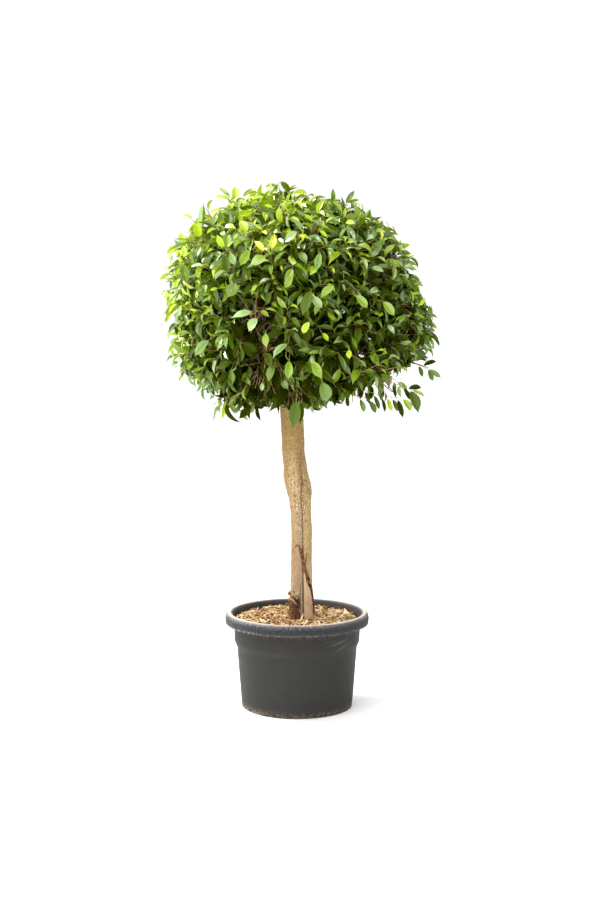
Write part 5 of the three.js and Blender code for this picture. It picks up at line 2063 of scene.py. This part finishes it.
def build_stage():
    mesh = bpy.data.meshes.new("floor")
    corners = [(x * FLOOR_REACH, y * FLOOR_REACH, 0) for x, y in ((-1, -1), (1, -1), (1, 1), (-1, 1))]
    mesh.from_pydata(corners, [], [(0, 1, 2, 3)])
    floor = in_scene("floor", mesh)
    paint = Paint("pale_floor", (253, 253, 252), 0.9, 0.0)
    paint.layer((251, 251, 251), paint.noise(1.2, 2))
    mesh.materials.append(paint.material)
    floor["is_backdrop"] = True


def area_light(name, place, size, power):
    """A round soft light that is turned to the crown and doesn't show itself."""
    lamp = bpy.data.lights.new(name, "AREA")
    lamp.shape = "DISK"
    lamp.size = size
    lamp.energy = power
    light = in_scene(name, lamp)
    light.location = place
    light.visible_camera = False
    light.rotation_euler = (Vector(CROWN["centre"]) - Vector(place)).to_track_quat("-Z", "Y").to_euler()


def build_sky():
    """White round the horizon; higher up, bright at the back left and dim in front."""
    world = bpy.data.worlds.new("studio")
    world.use_nodes = True
    tree = world.node_tree
    way = tree.nodes.new("ShaderNodeTexCoord").outputs["Generated"]
    height = tree.nodes.new("ShaderNodeSeparateXYZ")
    tree.links.new(way, height.inputs["Vector"])
    towards = tree.nodes.new("ShaderNodeVectorMath")
    towards.operation = "DOT_PRODUCT"
    tree.links.new(way, towards.inputs[0])
    towards.inputs[1].default_value = unit(np.array(SKY["bright_side"])).tolist()
    upper = map_range(tree, height.outputs["Z"], SKY["horizon"], shape="SMOOTHSTEP")
    bright = map_range(tree, towards.outputs["Value"], SKY["span"], SKY["strengths"])
    strength = tree.nodes.new("ShaderNodeMix")
    strength.data_type = "FLOAT"
    horizon_strength, sky_strength = strength.inputs[2], strength.inputs[3]
    horizon_strength.default_value = SKY["horizon_strength"]
    tree.links.new(upper, strength.inputs["Factor"])
    tree.links.new(bright, sky_strength)
    background = tree.nodes["Background"]
    background.inputs["Color"].default_value = (1.0, 1.0, 1.0, 1.0)
    tree.links.new(strength.outputs[0], background.inputs["Strength"])
    bpy.context.scene.world = world


def build_light():
    build_sky()
    for light in LIGHTS:
        area_light(**light)
    bpy.context.scene.view_settings.view_transform = "Standard"


def build_camera():
    data = bpy.data.cameras.new("camera")
    data.lens = CAMERA["lens"]
    data.sensor_width = CAMERA["sensor"]
    camera = in_scene("camera", data)
    camera.location = (CAMERA["x"], -CAMERA["distance"], CAMERA["height"])
    camera.rotation_euler = (math.radians(90 - CAMERA["pitch"]), 0, 0)
    bpy.context.scene.camera = camera


build_container(np.random.default_rng(SEED + 1))
build_limbs(np.random.default_rng(SEED + 2))
build_foliage(np.random.default_rng(SEED + 3))
build_stage()
build_light()
build_camera()

visual_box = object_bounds()
boxes = {"cad": cad_box, "visual": visual_box}
{name: [list(corner) for corner in box] for name, box in boxes.items()}
